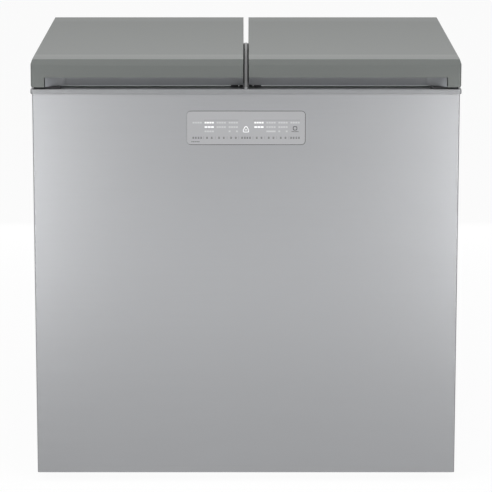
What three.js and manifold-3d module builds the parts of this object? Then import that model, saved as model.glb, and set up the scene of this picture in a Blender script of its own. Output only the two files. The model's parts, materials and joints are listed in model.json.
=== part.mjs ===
// A chest kimchi refrigerator with two top lids, in millimetres, +Z up.
// Origin: on the floor, under the middle of the whole object. The front faces -Y, +X is to the
// viewer's right. Each lid covers one stepped tub; the cooling machinery sits low at the back.

import * as THREE from 'three';
import { mergeVertices } from 'three/addons/utils/BufferGeometryUtils.js';
import Module from 'manifold-3d';

const wasm = await Module();
wasm.setup();

// ---- driving dimensions ------------------------------------------------------------------

const FIT = 0.3; // clearance between pieces that touch
const TOUCH = 0.001; // keeps two faces of solids that are cut or joined from lying in one plane
const PAST = 1; // how far a solid that cuts or joins another runs past its face
const WELD = 1e-4; // corners closer than this are one

// overall
const WIDTH = 925; // across the trim band round the top of the cabinet
const BODY_DEPTH = 756; // front to back over the trim band
const HEIGHT = 940; // floor to lid top
const FLOOR_GAP = 22; // under the cabinet

// cabinet shell
const SHEET = 1; // folded sheet panels
const FRONT_CORNER_R = 4; // outer radius of the front panel's vertical edges
const FRONT_RETURN = 15; // how far the front panel folds back round each side
const REAR_FLANGE = 14.7; // side panel's fold behind the cabinet
const ROOM_HEIGHT = 308; // machine room, from the pan's underside to its roof
const ROOM_DEPTH = 255; // machine room, forward from the back of the cabinet

// top frame: deck, trim band and the rib between the lids
const BAND_HEIGHT = 11;
const BAND_PROUD = 3.5; // how far the band stands out past the panels
const BAND_CORNER_R = 7;
const BAND_EDGE = 2.2; // rounding of the band's edges
const DECK = 6; // thickness of the deck
const RIB_WIDTH = 6.5;
const RIB_HEIGHT = 3;

// tubs, set by the insulation left round them
const SIDE_INSULATION = 79.5; // band's outside to the tub's inside
const FRONT_INSULATION = 73;
const REAR_INSULATION = 113;
const CENTRE_INSULATION = 90; // between the insides of the two tubs
const FLOOR_INSULATION = 88; // cabinet underside to the tub's floor
const ROOM_INSULATION = 95; // round the machine room
const TUB_WALL = 2.5;
const TUB_CORNER_R = 25;
const TUB_FLANGE = 12; // flange under the deck, past the tub's inside

// lids
const LID_HEIGHT = 61.5;
const LID_SPLIT = 11.8; // open gap between the two lids
const LID_INSET = 1.2; // lid's outer side, inside the band's
const LID_REAR_INSET = 5.5;
const UNDER_LID = 4.5; // gap between deck and lid
const LID_WALL = 2.5;
const LID_CHAMFER_HEIGHT = 13.3;
const LID_CHAMFER_DEPTH = 5;
const LID_CROWN_DROP = 1.6; // fall of the lid's top over its front strip
const LID_CROWN_LENGTH = 68;
const LID_REAR_STRIP = 95; // strip over the hinges, which falls a little to the rear
const LID_REAR_DROP = 1.2;
const LID_CORNER_R = 6;
const LID_INNER_R = 2;
const LID_BREAK = 0.75; // softening of the edge between the lid's top and its chamfers
const LID_REAR_BEVEL = 2;
const LID_SOFT_EDGE = 1; // bevel along the top's inner edge
const LID_UNDER_BEVEL_WIDTH = 2; // bevel along the bottom of the lid's outer side
const LID_UNDER_BEVEL_HEIGHT = 3;
const RECESS_HEIGHT = 21;
const RECESS_DEPTH = 33;
const RECESS_END = 29; // lid's outer side to the end of the recess
const RECESS_END_CURVE = 40; // length of the curved outer end

// lid liner, gasket and rest pad
const LIP_HEIGHT = 2.2; // liner lip that stands below the cover
const LIP_INSET = 8; // lip, inside the cover's sides and rear
const LINER_PLATE = 2.3;
const PLUG_DEPTH = 27; // plug below the lip
const PLUG_CLEAR = 8; // plug to tub wall
const PLUG_WALL = 2;
const GASKET_WIDTH = 13;
const GASKET_INSET = 4; // gasket, inside the lip's edge
const GASKET_GROOVE = 2.5;
const PAD_R = 11.5;
const PAD_FROM_CENTRE = 24.5; // rest pad to the middle of the object
const PAD_OVERHANG = 3; // pad, in front of the lip
const PAD_SIDES = 20;

// hinges
const HINGE_FROM_SIDE = 85; // hinge to the lid's outer and inner sides
const HINGE_AXIS_UP = 21.5; // hinge axis above the lid's underside
const PIN_R = 3.5;
const PIN_CLEAR = 0.08; // running clearance of pins, axles and the fan's shaft
const PIN_HEAD = 2;
const PIN_HEAD_MORE_R = 2; // pin head, past the pin
const EAR_R = 8;
const EAR = 4; // thickness of the hinge ears
const ARM_PLATE = 2.5;
const ARM_HALF = 22;
const ARM_BELOW = 16;
const ARM_ABOVE = 30;
const ARM_FILLET_BELOW = 4; // ear's foot on the arm's plate, past the ear's radius
const ARM_FILLET_ABOVE = 8;
const BRACKET_PLATE = 3;
const BRACKET_TO_PIN = 7.7; // bracket plate's rear face to the hinge axis
const BRACKET_TOP_BELOW = 14; // bracket plate's top edge, below the axis
const BRACKET_BELOW = 100;
const BRACKET_EAR_FOOT = 18; // height of the ear's foot on the bracket's plate
const SPRING_R = 5.4;
const SPRING_WIRE_R = 1;
const SPRING_PITCH = 2.7;
const SPRING_TURNS = 4;
const SPRING_SHORT_LEG = 14;
const SPRING_LONG_LEG = 26;
const SPRING_TURN_STEPS = 8; // points drawn in each turn
const SPRING_BEND = 3; // last turn to the start of the long leg

// display
const DISPLAY_WIDTH = 254;
const DISPLAY_HEIGHT = 72;
const DISPLAY_DROP = 37; // trim band to the window's top edge
const DISPLAY_CORNER_R = 8;
const DISPLAY_PROUD = 0.4;
const DISPLAY_FLANGE = 7;
const DISPLAY_FLANGE_THICK = 2;
const BOARD_THICK = 1.6;
const BOARD_MARGIN = 6;
const BOARD_STANDOFF = 6; // window to board
const CASE_WALL = 2;
const CASE_DEPTH = 20;
const BOSS_R = 4; // bosses that carry the board

// base, feet and rollers
const PAN = 2; // floor of the base pan
const PAN_RIM = 8;
const INTAKE_CLEAR = 12; // air intake in the pan, to the compressor's plate and to the fan
const INTAKE_DEPTH = 90;
const INTAKE_FROM_REAR = 40;
const STEP_SHEET = 1.2;
const FOOT_FROM_SIDE = 62.5;
const FOOT_BACK = 97.5; // foot, behind the band's front
const FOOT_R = 20;
const FOOT_HEIGHT = 7;
const FOOT_SOLE = 3;
const STEM_R = 5;
const STEM_LENGTH = 58;
const STEM_HEX_R = 16; // hexagon for a wrench, from the middle to a corner
const STEM_HEX_HEIGHT = 6;
const NUT_R = 9;
const NUT_HEIGHT = 10;
const WELL_CLEAR = 1.3; // well in the insulation, round the foot's nut
const WELL_MORE = 20; // and above the foot's stem
const FOOT_EDGE = 1; // bevel round the foot's sole
const FOOT_SLOPE = 3; // width of the slope round the foot's top
const FOOT_SLOPE_HEIGHT = 2;
const ROLLER_BEVEL = 2;
const ROLLER_R = 18;
const ROLLER_WIDTH = 20;
const ROLLER_FROM_SIDE = 62.5;
const ROLLER_FROM_BACK = 68.5;
const AXLE_R = 2.5;
const AXLE_HEAD_R = 3.5;
const ROLLER_SIDE_GAP = 3; // roller to the ears that carry its axle
const AXLE_EAR = 2.5;
const AXLE_EAR_R = 7;

// refrigeration
const PIPE_R = 4; // evaporator tube
const COIL_TURNS = 3;
const COIL_CORNER_STEPS = 4;
const COIL_BELOW = 60; // top turn, below the deck
const COIL_ABOVE_STEP = 18; // lowest turn, above the tub's step
const CROSSING_FORWARD = 60; // crossing tube, ahead of the coil's rear corner
const TAIL_CLEAR = 2; // slot in the machine room's roof, round the tail
const TAIL_DROP = 99; // evaporator's tail below the machine room's roof
const COMPRESSOR_R = 80;
const COMPRESSOR_HEIGHT = 170;
const COMPRESSOR_SIDE = 30; // compressor axis, outward of the suction tail
const COMPRESSOR_FRONT = 25; // and forward of it
const COMPRESSOR_FOOT_X = 88;
const COMPRESSOR_FOOT_Y = 58;
const COMPRESSOR_PLATE = 3;
const COMPRESSOR_PLATE_EDGE = 16; // foot plate, past the grommets' axes
const COMPRESSOR_PLATE_R = 12;
const SHELL_BASE = 0.8; // radii of the shell's flat base, shoulder and flat top, as shares of its radius
const SHELL_SHOULDER = 0.86;
const SHELL_TOP = 0.5;
const SHELL_BASE_RISE = 16;
const SHELL_STRAIGHT = 0.76; // heights of the straight wall and the shoulder, as shares of its height
const SHELL_SHOULDER_HEIGHT = 0.92;
const DISCHARGE_SIDE = 40; // discharge stub, from the compressor's axis
const DISCHARGE_FORWARD = 30;
const DISCHARGE_RISE = 12; // end of the discharge stub, above the shell
const STUB_WALL = 1.5; // compressor's stubs, round the pipes
const STUB_ROOT = 60; // depth that the stubs reach into the shell
const TERMINAL_HALF = 22; // terminal cover on the compressor's side
const TERMINAL_PROUD = 14;
const TERMINAL_LOW = 60;
const TERMINAL_HIGH = 110;
const GROMMET_R = 14;
const GROMMET_NECK_R = 8;
const GROMMET_SEAT = 14; // height of the grommet's lower part
const GROMMET_CAP = 5;
const GROMMET_CAP_R = 12;
const GROMMET_TIP_R = 10;
const BOLT_HOLE_R = 4;
const CONDENSER_PIPE_R = 3;
const CONDENSER_PITCH = 40;
const CONDENSER_RUNS = 5;
const CONDENSER_LENGTH = 230;
const CONDENSER_LEFT = 90; // coil's left end, from the middle of the object
const CONDENSER_LOW = 46; // lowest run, above the pan
const CONDENSER_FRONT = 39; // front layer, behind the step wall
const CONDENSER_LAYER_GAP = 55;
const CONDENSER_TAKE_OFF = 120; // discharge line, rightward before it turns to the coil
const CONDENSER_SLANT = 40;
const HOLDER_THICK = 1.5; // plates that hold the coil's runs
const HOLDER_EDGE = 12;
const DRIER_R = 9;
const DRIER_LENGTH = 90;
const DRIER_CONE = 12;
const FAN_SIZE = 92;
const FAN_DEPTH = 25;
const FAN_BORE_R = 43;
const FAN_HUB_R = 17;
const FAN_TIP_CLEAR = 2;
const FAN_SHAFT_R = 2;
const FAN_BLADES = 7;
const FAN_CENTRE_X = 34;
const FAN_RAISE = 34; // fan's frame above the pan
const FAN_CORNER_R = 5;
const FAN_MOTOR_PLATE = 5;
const FAN_STRUT_WIDTH = 5;
const FAN_STRUT_THICK = 4;
const FAN_STRUTS = 3;
const FAN_LEG_INSET = 6;
const FAN_ROTOR_INSET = 1; // rotor and shaft, behind the duct's rear face
const FAN_BLADE_THICK = 1.5;
const FAN_BLADE_WIDTH = 15;
const FAN_BLADE_ANGLE = 0.85; // radians
const JOIN = 2; // overlap of two solids that are joined into one

// electrics and machine cover
const BOX_WIDTH = 70;
const BOX_DEPTH = 160;
const BOX_HEIGHT = 130;
const BOX_RAISE = 40;
const BOX_FROM_SIDE = 24;
const BOX_WALL = 2;
const BOX_LEG = 10;
const LOUVRE_WIDTH = 90;
const LOUVRE_HEIGHT = 6;
const LOUVRE_PITCH_X = 115;
const LOUVRE_PITCH_Z = 20;
const LOUVRE_COLUMNS = 7;
const LOUVRE_ROWS = 6;
const LOUVRE_BOTTOM = 60; // lowest louvre, above the pan's underside
const INLET_R = 11;
const INLET_FLANGE_R = 15;
const INLET_BORE_R = 4.5;
const INLET_FLANGE = 3;
const INLET_NOSE = 11;
const INLET_NECK = 12; // bush, into the machine room
const INLET_TAPER = 2;
const INLET_FROM_SIDE = 70;
const INLET_BELOW_ROOF = 40;

// ---- places worked out from them ---------------------------------------------------------

const hingeReach = FIT + BRACKET_PLATE + BRACKET_TO_PIN + EAR_R; // hinges behind the band
const frontY = -(BODY_DEPTH + hingeReach) / 2;
const bandRearY = frontY + BODY_DEPTH;
const panelFrontY = frontY + BAND_PROUD;
const backY = bandRearY - BAND_PROUD;
const halfWidth = WIDTH / 2;
const sideX = halfWidth - BAND_PROUD; // outside of the side panels
const insideX = sideX - SHEET; // inside of the side panels

const lidBottomZ = HEIGHT - LID_HEIGHT;
const deckTopZ = lidBottomZ - UNDER_LID;
const deckBottomZ = deckTopZ - DECK;
const bandBottomZ = deckTopZ - BAND_HEIGHT;
const panelTopZ = deckBottomZ - FIT;
const panTopZ = FLOOR_GAP + PAN;
const roofZ = FLOOR_GAP + ROOM_HEIGHT;
const stepY = backY - ROOM_DEPTH;

const tubOuterX = halfWidth - SIDE_INSULATION;
const tubInnerX = CENTRE_INSULATION / 2;
const tubMiddleX = (tubOuterX + tubInnerX) / 2;
const tubFrontY = frontY + FRONT_INSULATION;
const tubRearY = bandRearY - REAR_INSULATION;
const tubStepY = stepY - ROOM_INSULATION;
const tubFloorZ = FLOOR_GAP + FLOOR_INSULATION;
const tubStepZ = roofZ + ROOM_INSULATION;

const lidInnerX = LID_SPLIT / 2;
const lidOuterX = halfWidth - LID_INSET;
const lidRearY = bandRearY - LID_REAR_INSET;
const lipZ = lidBottomZ - LIP_HEIGHT;
const lipFrontY = frontY + RECESS_DEPTH + FIT;
const linerPlateZ = lidBottomZ + FIT;
const hingeY = bandRearY + hingeReach - EAR_R;
const hingeZ = lidBottomZ + HINGE_AXIS_UP;

// ---- materials ---------------------------------------------------------------------------

function material(color, roughness, metalness) {
  return new THREE.MeshStandardMaterial({ color, roughness, metalness });
}

const stainless = material(0xa9abaf, 0.38, 0.9);
const trim = material(0x989b9f, 0.4, 0.6);
const paintedSteel = material(0x9c9ea1, 0.5, 0.3);
const galvanised = material(0xb4b6b8, 0.5, 0.8);
const lidPlastic = material(0x767b77, 0.45, 0.1);
const linerPlastic = material(0xd5d8da, 0.5, 0);
const foam = material(0xe6d9a8, 0.95, 0);
const rubber = material(0x1c1d1f, 0.85, 0);
const darkPlastic = material(0x2b2d30, 0.6, 0);
const windowPlastic = material(0xb5b7bb, 0.25, 0.1);
const copper = material(0xb8714a, 0.35, 0.9);
const blackSteel = material(0x151617, 0.4, 0.6);
const zinc = material(0xc2c4c6, 0.35, 0.95);
const board = material(0x2f6b45, 0.6, 0);

// ---- solids ------------------------------------------------------------------------------

function toSolid(geometry) {
  const bare = geometry.clone();
  bare.deleteAttribute('normal');
  bare.deleteAttribute('uv');
  const merged = mergeVertices(bare, WELD);
  const corners = merged.index.array;
  const kept = [];
  for (let i = 0; i < corners.length; i += 3) {
    const [a, b, c] = [corners[i], corners[i + 1], corners[i + 2]];
    if (a !== b && b !== c && c !== a) kept.push(a, b, c);
  }
  return new wasm.Manifold(new wasm.Mesh({
    numProp: 3,
    vertProperties: new Float32Array(merged.attributes.position.array),
    triVerts: new Uint32Array(kept),
  }));
}

function toGeometry(solid) {
  const mesh = solid.getMesh();
  const geometry = new THREE.BufferGeometry();
  geometry.setAttribute('position', new THREE.BufferAttribute(new Float32Array(mesh.vertProperties), 3));
  geometry.setIndex(new THREE.BufferAttribute(new Uint32Array(mesh.triVerts), 1));
  return geometry;
}

const join = (first, ...rest) => rest.reduce((sum, solid) => sum.add(solid), first);
const cut = (first, ...rest) => rest.reduce((left, solid) => left.subtract(solid), first);

// A named part of the model, from a solid built in its parent's frame.
function part(name, solid, look) {
  const mesh = new THREE.Mesh(toGeometry(solid), look);
  mesh.name = name;
  return mesh;
}

function at(object, x, y, z) {
  object.position.set(x, y, z);
  return object;
}

// The same solid on the other side of the plane x = 0.
function mirrored(solid) {
  const geometry = toGeometry(solid).scale(-1, 1, 1);
  const corners = geometry.index.array;
  for (let i = 0; i < corners.length; i += 3) {
    [corners[i], corners[i + 1]] = [corners[i + 1], corners[i]];
  }
  return toSolid(geometry);
}

function polygon(points) {
  return new THREE.Shape(points.map(([u, v]) => new THREE.Vector2(u, v)));
}

function rectangle(u0, v0, u1, v1) {
  return polygon([[u0, v0], [u1, v0], [u1, v1], [u0, v1]]);
}

function roundedRectangle(u0, v0, u1, v1, r) {
  const shape = new THREE.Shape();
  shape.absarc(u1 - r, v0 + r, r, -Math.PI / 2, 0, false);
  shape.absarc(u1 - r, v1 - r, r, 0, Math.PI / 2, false);
  shape.absarc(u0 + r, v1 - r, r, Math.PI / 2, Math.PI, false);
  shape.absarc(u0 + r, v0 + r, r, Math.PI, Math.PI * 1.5, false);
  return shape;
}

function circle(u, v, r) {
  const shape = new THREE.Shape();
  shape.absarc(u, v, r, 0, Math.PI * 2, false);
  return shape;
}

function extrude(shape, depth, curveSegments) {
  return new THREE.ExtrudeGeometry(shape, { depth, bevelEnabled: false, curveSegments });
}

const axisX = new THREE.Vector3(1, 0, 0);
const axisY = new THREE.Vector3(0, 1, 0);
const axisZ = new THREE.Vector3(0, 0, 1);

// Prisms along each axis. prismX takes a shape drawn in (y, z), prismY one in (x, z). An arc in
// the shape is drawn in twice curveSegments steps.
function prismZ(shape, z0, z1, curveSegments = 2) {
  return toSolid(extrude(shape, z1 - z0, curveSegments).translate(0, 0, z0));
}

function prismX(shape, x0, x1, curveSegments = 2) {
  const turn = new THREE.Matrix4().makeBasis(axisY, axisZ, axisX);
  return toSolid(extrude(shape, x1 - x0, curveSegments).applyMatrix4(turn).translate(x0, 0, 0));
}

function prismY(shape, y0, y1, curveSegments = 2) {
  const turn = new THREE.Matrix4().makeBasis(axisX, axisZ, axisY.clone().negate());
  return toSolid(extrude(shape, y1 - y0, curveSegments).applyMatrix4(turn).translate(0, y1, 0));
}

function box(x0, y0, z0, x1, y1, z1) {
  const geometry = new THREE.BoxGeometry(x1 - x0, y1 - y0, z1 - z0);
  return toSolid(geometry.translate((x0 + x1) / 2, (y0 + y1) / 2, (z0 + z1) / 2));
}

const ROUND = 12; // sides of a pin, and of the bore it runs in

// A solid of revolution about +Z, from [radius, height] points that go up on the outside.
function turned(points, segments = ROUND) {
  const profile = points.map(([r, h]) => new THREE.Vector2(r, h));
  return toSolid(new THREE.LatheGeometry(profile, segments).rotateX(Math.PI / 2));
}

function rod(r, z0, z1, segments = ROUND) {
  return turned([[0, z0], [r, z0], [r, z1], [0, z1]], segments);
}

function ring(inner, outer, z0, z1, segments = ROUND) {
  return turned([[outer, z0], [outer, z1], [inner, z1], [inner, z0], [outer, z0]], segments);
}

// Radius of a faceted bore whose flats, not its corners, clear a pin of radius r that turns in it.
const boreRadius = (r) => (r + PIN_CLEAR) / Math.cos(Math.PI / ROUND);

// Turns a solid built about +Z so that it lies about +X.
function alongX(solid) {
  return toSolid(toGeometry(solid).rotateY(Math.PI / 2));
}

function moved(solid, x, y, z) {
  return toSolid(toGeometry(solid).translate(x, y, z));
}

// ---- pipes -------------------------------------------------------------------------------

// A path through given points, with one ring of the pipe at each of them.
class KnotPath extends THREE.Curve {
  constructor(points) {
    super();
    this.points = points;
  }

  getPoint(t, target = new THREE.Vector3()) {
    const place = THREE.MathUtils.clamp(t, 0, 1) * (this.points.length - 1);
    const from = Math.min(Math.floor(place), this.points.length - 2);
    return target.lerpVectors(this.points[from], this.points[from + 1], place - from);
  }

  getUtoTmapping(u) {
    return u;
  }
}

function pipe(points, r, sides = 6) {
  const section = new THREE.Shape();
  for (let i = 0; i < sides; i += 1) {
    const angle = (i / sides) * Math.PI * 2;
    const corner = [r * Math.cos(angle), r * Math.sin(angle)];
    if (i === 0) section.moveTo(...corner);
    else section.lineTo(...corner);
  }
  const extrudePath = new KnotPath(points);
  return toSolid(new THREE.ExtrudeGeometry(section, { steps: points.length - 1, extrudePath }));
}

// The points of a line through given corners, each corner turned into an arc of radius r.
function bent(corners, r, steps = 2) {
  const points = [corners[0].clone()];
  for (let i = 1; i < corners.length - 1; i += 1) {
    const back = corners[i - 1].clone().sub(corners[i]);
    const ahead = corners[i + 1].clone().sub(corners[i]);
    const reach = (vector) => Math.min(r, vector.length() * 0.499);
    const entry = corners[i].clone().add(back.setLength(reach(back)));
    const exit = corners[i].clone().add(ahead.setLength(reach(ahead)));
    const arc = new THREE.QuadraticBezierCurve3(entry, corners[i], exit);
    for (let step = 0; step <= steps; step += 1) points.push(arc.getPoint(step / steps));
  }
  points.push(corners.at(-1).clone());
  return points;
}

const v3 = (x, y, z) => new THREE.Vector3(x, y, z);

// The least open gap between the turns of a wound wire, for the report printed below.
function leastGap(points, wireR, perTurn) {
  let least = Infinity;
  for (let i = 0; i < points.length; i += 1) {
    for (let j = i + perTurn - 2; j < points.length; j += 1) {
      least = Math.min(least, points[i].distanceTo(points[j]) - 2 * wireR);
    }
  }
  return least;
}

// ---- cabinet shell -----------------------------------------------------------------------

const displayTopZ = bandBottomZ - DISPLAY_DROP;
const displayBottomZ = displayTopZ - DISPLAY_HEIGHT;
const displayHalf = DISPLAY_WIDTH / 2;

function displayOutline(grow) {
  return roundedRectangle(
    -displayHalf - grow, displayBottomZ - grow, displayHalf + grow, displayTopZ + grow,
    DISPLAY_CORNER_R + grow,
  );
}

function frontPanel() {
  const returnY = panelFrontY + FRONT_RETURN;
  const outside = new THREE.Shape();
  outside.moveTo(sideX, returnY);
  outside.lineTo(-sideX, returnY);
  outside.absarc(-sideX + FRONT_CORNER_R, panelFrontY + FRONT_CORNER_R, FRONT_CORNER_R,
    Math.PI, Math.PI * 1.5, false);
  outside.absarc(sideX - FRONT_CORNER_R, panelFrontY + FRONT_CORNER_R, FRONT_CORNER_R,
    Math.PI * 1.5, Math.PI * 2, false);
  const solid = prismZ(outside, FLOOR_GAP, panelTopZ);
  const innerR = FRONT_CORNER_R - SHEET;
  const inside = roundedRectangle(-insideX, panelFrontY + SHEET, insideX, returnY + FRONT_RETURN, innerR);
  const hollow = prismZ(inside, FLOOR_GAP - PAST, panelTopZ + PAST);
  const windowHole = prismY(displayOutline(FIT), panelFrontY - PAST, panelFrontY + SHEET + PAST);
  return part('front_panel', cut(solid, hollow, windowHole), stainless);
}

function sidePanel(side) {
  const start = panelFrontY + FRONT_RETURN + FIT;
  const section = polygon([
    [insideX, start], [sideX, start], [sideX, backY], [sideX - REAR_FLANGE, backY],
    [sideX - REAR_FLANGE, backY - SHEET], [insideX, backY - SHEET],
  ]);
  const right = prismZ(section, FLOOR_GAP, panelTopZ);
  if (side > 0) return part('side_panel_right', right, paintedSteel);
  return part('side_panel_left', mirrored(right), paintedSteel);
}

const rearHalf = sideX - REAR_FLANGE - FIT; // back panel and machine cover, between the flanges

function backPanel() {
  const solid = box(-rearHalf, backY - SHEET, roofZ + FIT, rearHalf, backY, bandBottomZ - FIT);
  const tongue = box(
    -rearHalf, backY - SHEET, bandBottomZ - FIT, rearHalf, backY - FIT, panelTopZ,
  );
  return part('back_panel', join(solid, tongue), paintedSteel);
}

// The plan of what fits inside the sheet panels, drawn in by inset.
function innerOutline(inset) {
  const clear = SHEET + FIT + inset;
  const x = sideX - clear;
  const r = FRONT_CORNER_R - SHEET - FIT;
  return roundedRectangle(-x, panelFrontY + clear, x, backY - clear, r);
}

function basePan() {
  const outerX = insideX - FIT;
  const rear = backY - SHEET - FIT;
  const tray = prismZ(innerOutline(0), FLOOR_GAP, FLOOR_GAP + PAN_RIM);
  const hollow = prismZ(innerOutline(STEP_SHEET), panTopZ, FLOOR_GAP + PAN_RIM + PAST);
  const wall = box(-outerX, stepY, FLOOR_GAP, outerX, stepY + STEP_SHEET, roofZ);
  const roof = box(-outerX, stepY, roofZ - STEP_SHEET, outerX, rear, roofZ);
  const intake = box(
    compressorX + COMPRESSOR_FOOT_X + COMPRESSOR_PLATE_EDGE + INTAKE_CLEAR,
    backY - INTAKE_FROM_REAR - INTAKE_DEPTH, FLOOR_GAP - PAST,
    FAN_CENTRE_X - INTAKE_CLEAR, backY - INTAKE_FROM_REAR, panTopZ + PAST,
  );
  let pan = join(cut(tray, hollow, intake), wall, roof);
  for (const x of [-footX, footX]) {
    const nut = moved(rod(NUT_R, FLOOR_GAP, panTopZ + NUT_HEIGHT, 6), x, footY, 0);
    const thread = moved(rod(STEM_R + FIT, 0, panTopZ + NUT_HEIGHT + PAST), x, footY, 0);
    pan = cut(join(pan, nut), thread);
  }
  const slotHalf = ROLLER_WIDTH / 2 + ROLLER_SIDE_GAP;
  const slotLength = ROLLER_R + ROLLER_SIDE_GAP;
  for (const x of [-rollerX, rollerX]) {
    pan = cut(pan, box(
      x - slotHalf, rollerY - slotLength, FLOOR_GAP - PAST,
      x + slotHalf, rollerY + slotLength, panTopZ + PAST,
    ));
    const earOutline = new THREE.Shape();
    earOutline.moveTo(rollerY + AXLE_EAR_R, panTopZ);
    earOutline.lineTo(rollerY - AXLE_EAR_R, panTopZ);
    earOutline.absarc(rollerY, ROLLER_R, AXLE_EAR_R, Math.PI, Math.PI * 2, false);
    for (const start of [x - slotHalf - AXLE_EAR, x + slotHalf]) {
      pan = join(pan, prismX(earOutline, start, start + AXLE_EAR, 3));
    }
    const bore = alongX(rod(boreRadius(AXLE_R), -slotHalf - 2 * AXLE_EAR, slotHalf + 2 * AXLE_EAR));
    pan = cut(pan, moved(bore, x, rollerY, ROLLER_R));
  }
  for (const side of [-1, 1]) {
    pan = cut(pan, box(
      side * tubMiddleX - tailSlot, tailY - tailSlot, roofZ - STEP_SHEET - PAST,
      side * tubMiddleX + tailSlot, tailY + tailSlot, roofZ + PAST,
    ));
  }
  return part('base_pan', pan, galvanised);
}

function tubOutline(grow, rearY = tubRearY) {
  return roundedRectangle(
    tubInnerX - grow, tubFrontY - grow, tubOuterX + grow, rearY + grow, TUB_CORNER_R + grow,
  );
}

function topFrame() {
  const outline = roundedRectangle(
    -halfWidth + BAND_EDGE, frontY + BAND_EDGE, halfWidth - BAND_EDGE, bandRearY - BAND_EDGE,
    BAND_CORNER_R - BAND_EDGE,
  );
  const slab = toSolid(new THREE.ExtrudeGeometry(outline, {
    depth: BAND_HEIGHT - 2 * BAND_EDGE,
    bevelThickness: BAND_EDGE,
    bevelSize: BAND_EDGE,
    bevelSegments: 2,
    curveSegments: 2,
  }).translate(0, 0, bandBottomZ + BAND_EDGE));
  const cabinet = roundedRectangle(
    -sideX - FIT, panelFrontY - FIT, sideX + FIT, backY + FIT, FRONT_CORNER_R,
  );
  const squareRear = rectangle(-sideX - FIT, 0, sideX + FIT, backY + FIT);
  const under = join(...[cabinet, squareRear].map((plan) => prismZ(plan, bandBottomZ - PAST, deckBottomZ)));
  const mouth = prismZ(tubOutline(0), deckBottomZ - PAST, deckTopZ + PAST);
  const ribRear = bandRearY - BAND_EDGE;
  const rib = box(
    -RIB_WIDTH / 2, frontY + BAND_EDGE, deckTopZ - PAST, RIB_WIDTH / 2, ribRear, deckTopZ + RIB_HEIGHT,
  );
  return part('top_frame', join(cut(slab, under, mouth, mirrored(mouth)), rib), trim);
}

// ---- tubs and insulation -----------------------------------------------------------------

function tub(side) {
  const upper = prismZ(tubOutline(TUB_WALL), tubStepZ - TUB_WALL, panelTopZ);
  const lower = prismZ(tubOutline(TUB_WALL, tubStepY), tubFloorZ - TUB_WALL, tubStepZ);
  const flange = prismZ(tubOutline(TUB_FLANGE), panelTopZ - TUB_WALL, panelTopZ);
  const upperSpace = prismZ(tubOutline(0), tubStepZ, panelTopZ + PAST);
  const lowerSpace = prismZ(tubOutline(0, tubStepY), tubFloorZ, tubStepZ + PAST);
  const right = cut(join(upper, lower, flange), upperSpace, lowerSpace);
  if (side > 0) return part('tub_right', right, linerPlastic);
  return part('tub_left', mirrored(right), linerPlastic);
}

const coilGrow = TUB_WALL + FIT + PIPE_R; // centre line of the wound tube, out from the tub's inside
const coilTopZ = deckTopZ - COIL_BELOW;
const coilLowZ = tubStepZ + COIL_ABOVE_STEP;
const tailY = tubRearY + coilGrow;
const tailEndZ = roofZ - TAIL_DROP;
const tailSlot = PIPE_R + TAIL_CLEAR;

const coilCornerR = TUB_CORNER_R + coilGrow;
// The tube crosses to the other tub ahead of the rear corner. The two coils meet at x = 0.
const crossingY = tailY - coilCornerR - CROSSING_FORWARD;

// Up from the tail, round the tub turn by turn, and across to the middle of the cabinet.
function coilPoints() {
  const x0 = tubInnerX - coilGrow;
  const x1 = tubOuterX + coilGrow;
  const y0 = tubFrontY - coilGrow;
  const corner = (x, y, from) => (
    new THREE.EllipseCurve(x, y, coilCornerR, coilCornerR, from, from + Math.PI / 2)
      .getPoints(COIL_CORNER_STEPS)
  );
  const firstCorner = corner(x0 + coilCornerR, tailY - coilCornerR, Math.PI / 2);
  const oneTurn = [
    ...firstCorner,
    ...corner(x0 + coilCornerR, y0 + coilCornerR, Math.PI),
    ...corner(x1 - coilCornerR, y0 + coilCornerR, Math.PI * 1.5),
    ...corner(x1 - coilCornerR, tailY - coilCornerR, 0),
  ];
  const start = v3(tubMiddleX - PIPE_R, tailY, coilLowZ - PIPE_R);
  const wound = [start];
  for (let turn = 0; turn < COIL_TURNS; turn += 1) wound.push(...oneTurn.map(({ x, y }) => v3(x, y, 0)));
  wound.push(...firstCorner.map(({ x, y }) => v3(x, y, 0)));
  const lengths = [0];
  for (let i = 1; i < wound.length; i += 1) {
    lengths.push(lengths[i - 1] + Math.hypot(wound[i].x - wound[i - 1].x, wound[i].y - wound[i - 1].y));
  }
  wound.forEach((place, i) => {
    place.z = coilLowZ - PIPE_R + ((coilTopZ - coilLowZ + PIPE_R) * lengths[i]) / lengths.at(-1);
  });
  return [
    v3(tubMiddleX, tailY, tailEndZ), v3(tubMiddleX, tailY, coilLowZ - PIPE_R * 3), ...wound,
    v3(x0, crossingY + PIPE_R, coilTopZ), v3(x0 - PIPE_R, crossingY, coilTopZ),
    v3(FIT / 2, crossingY, coilTopZ),
  ];
}

function evaporator(side) {
  const right = pipe(coilPoints(), PIPE_R, 5);
  if (side > 0) return part('evaporator_right', right, copper);
  return part('evaporator_left', mirrored(right), copper);
}

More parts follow.
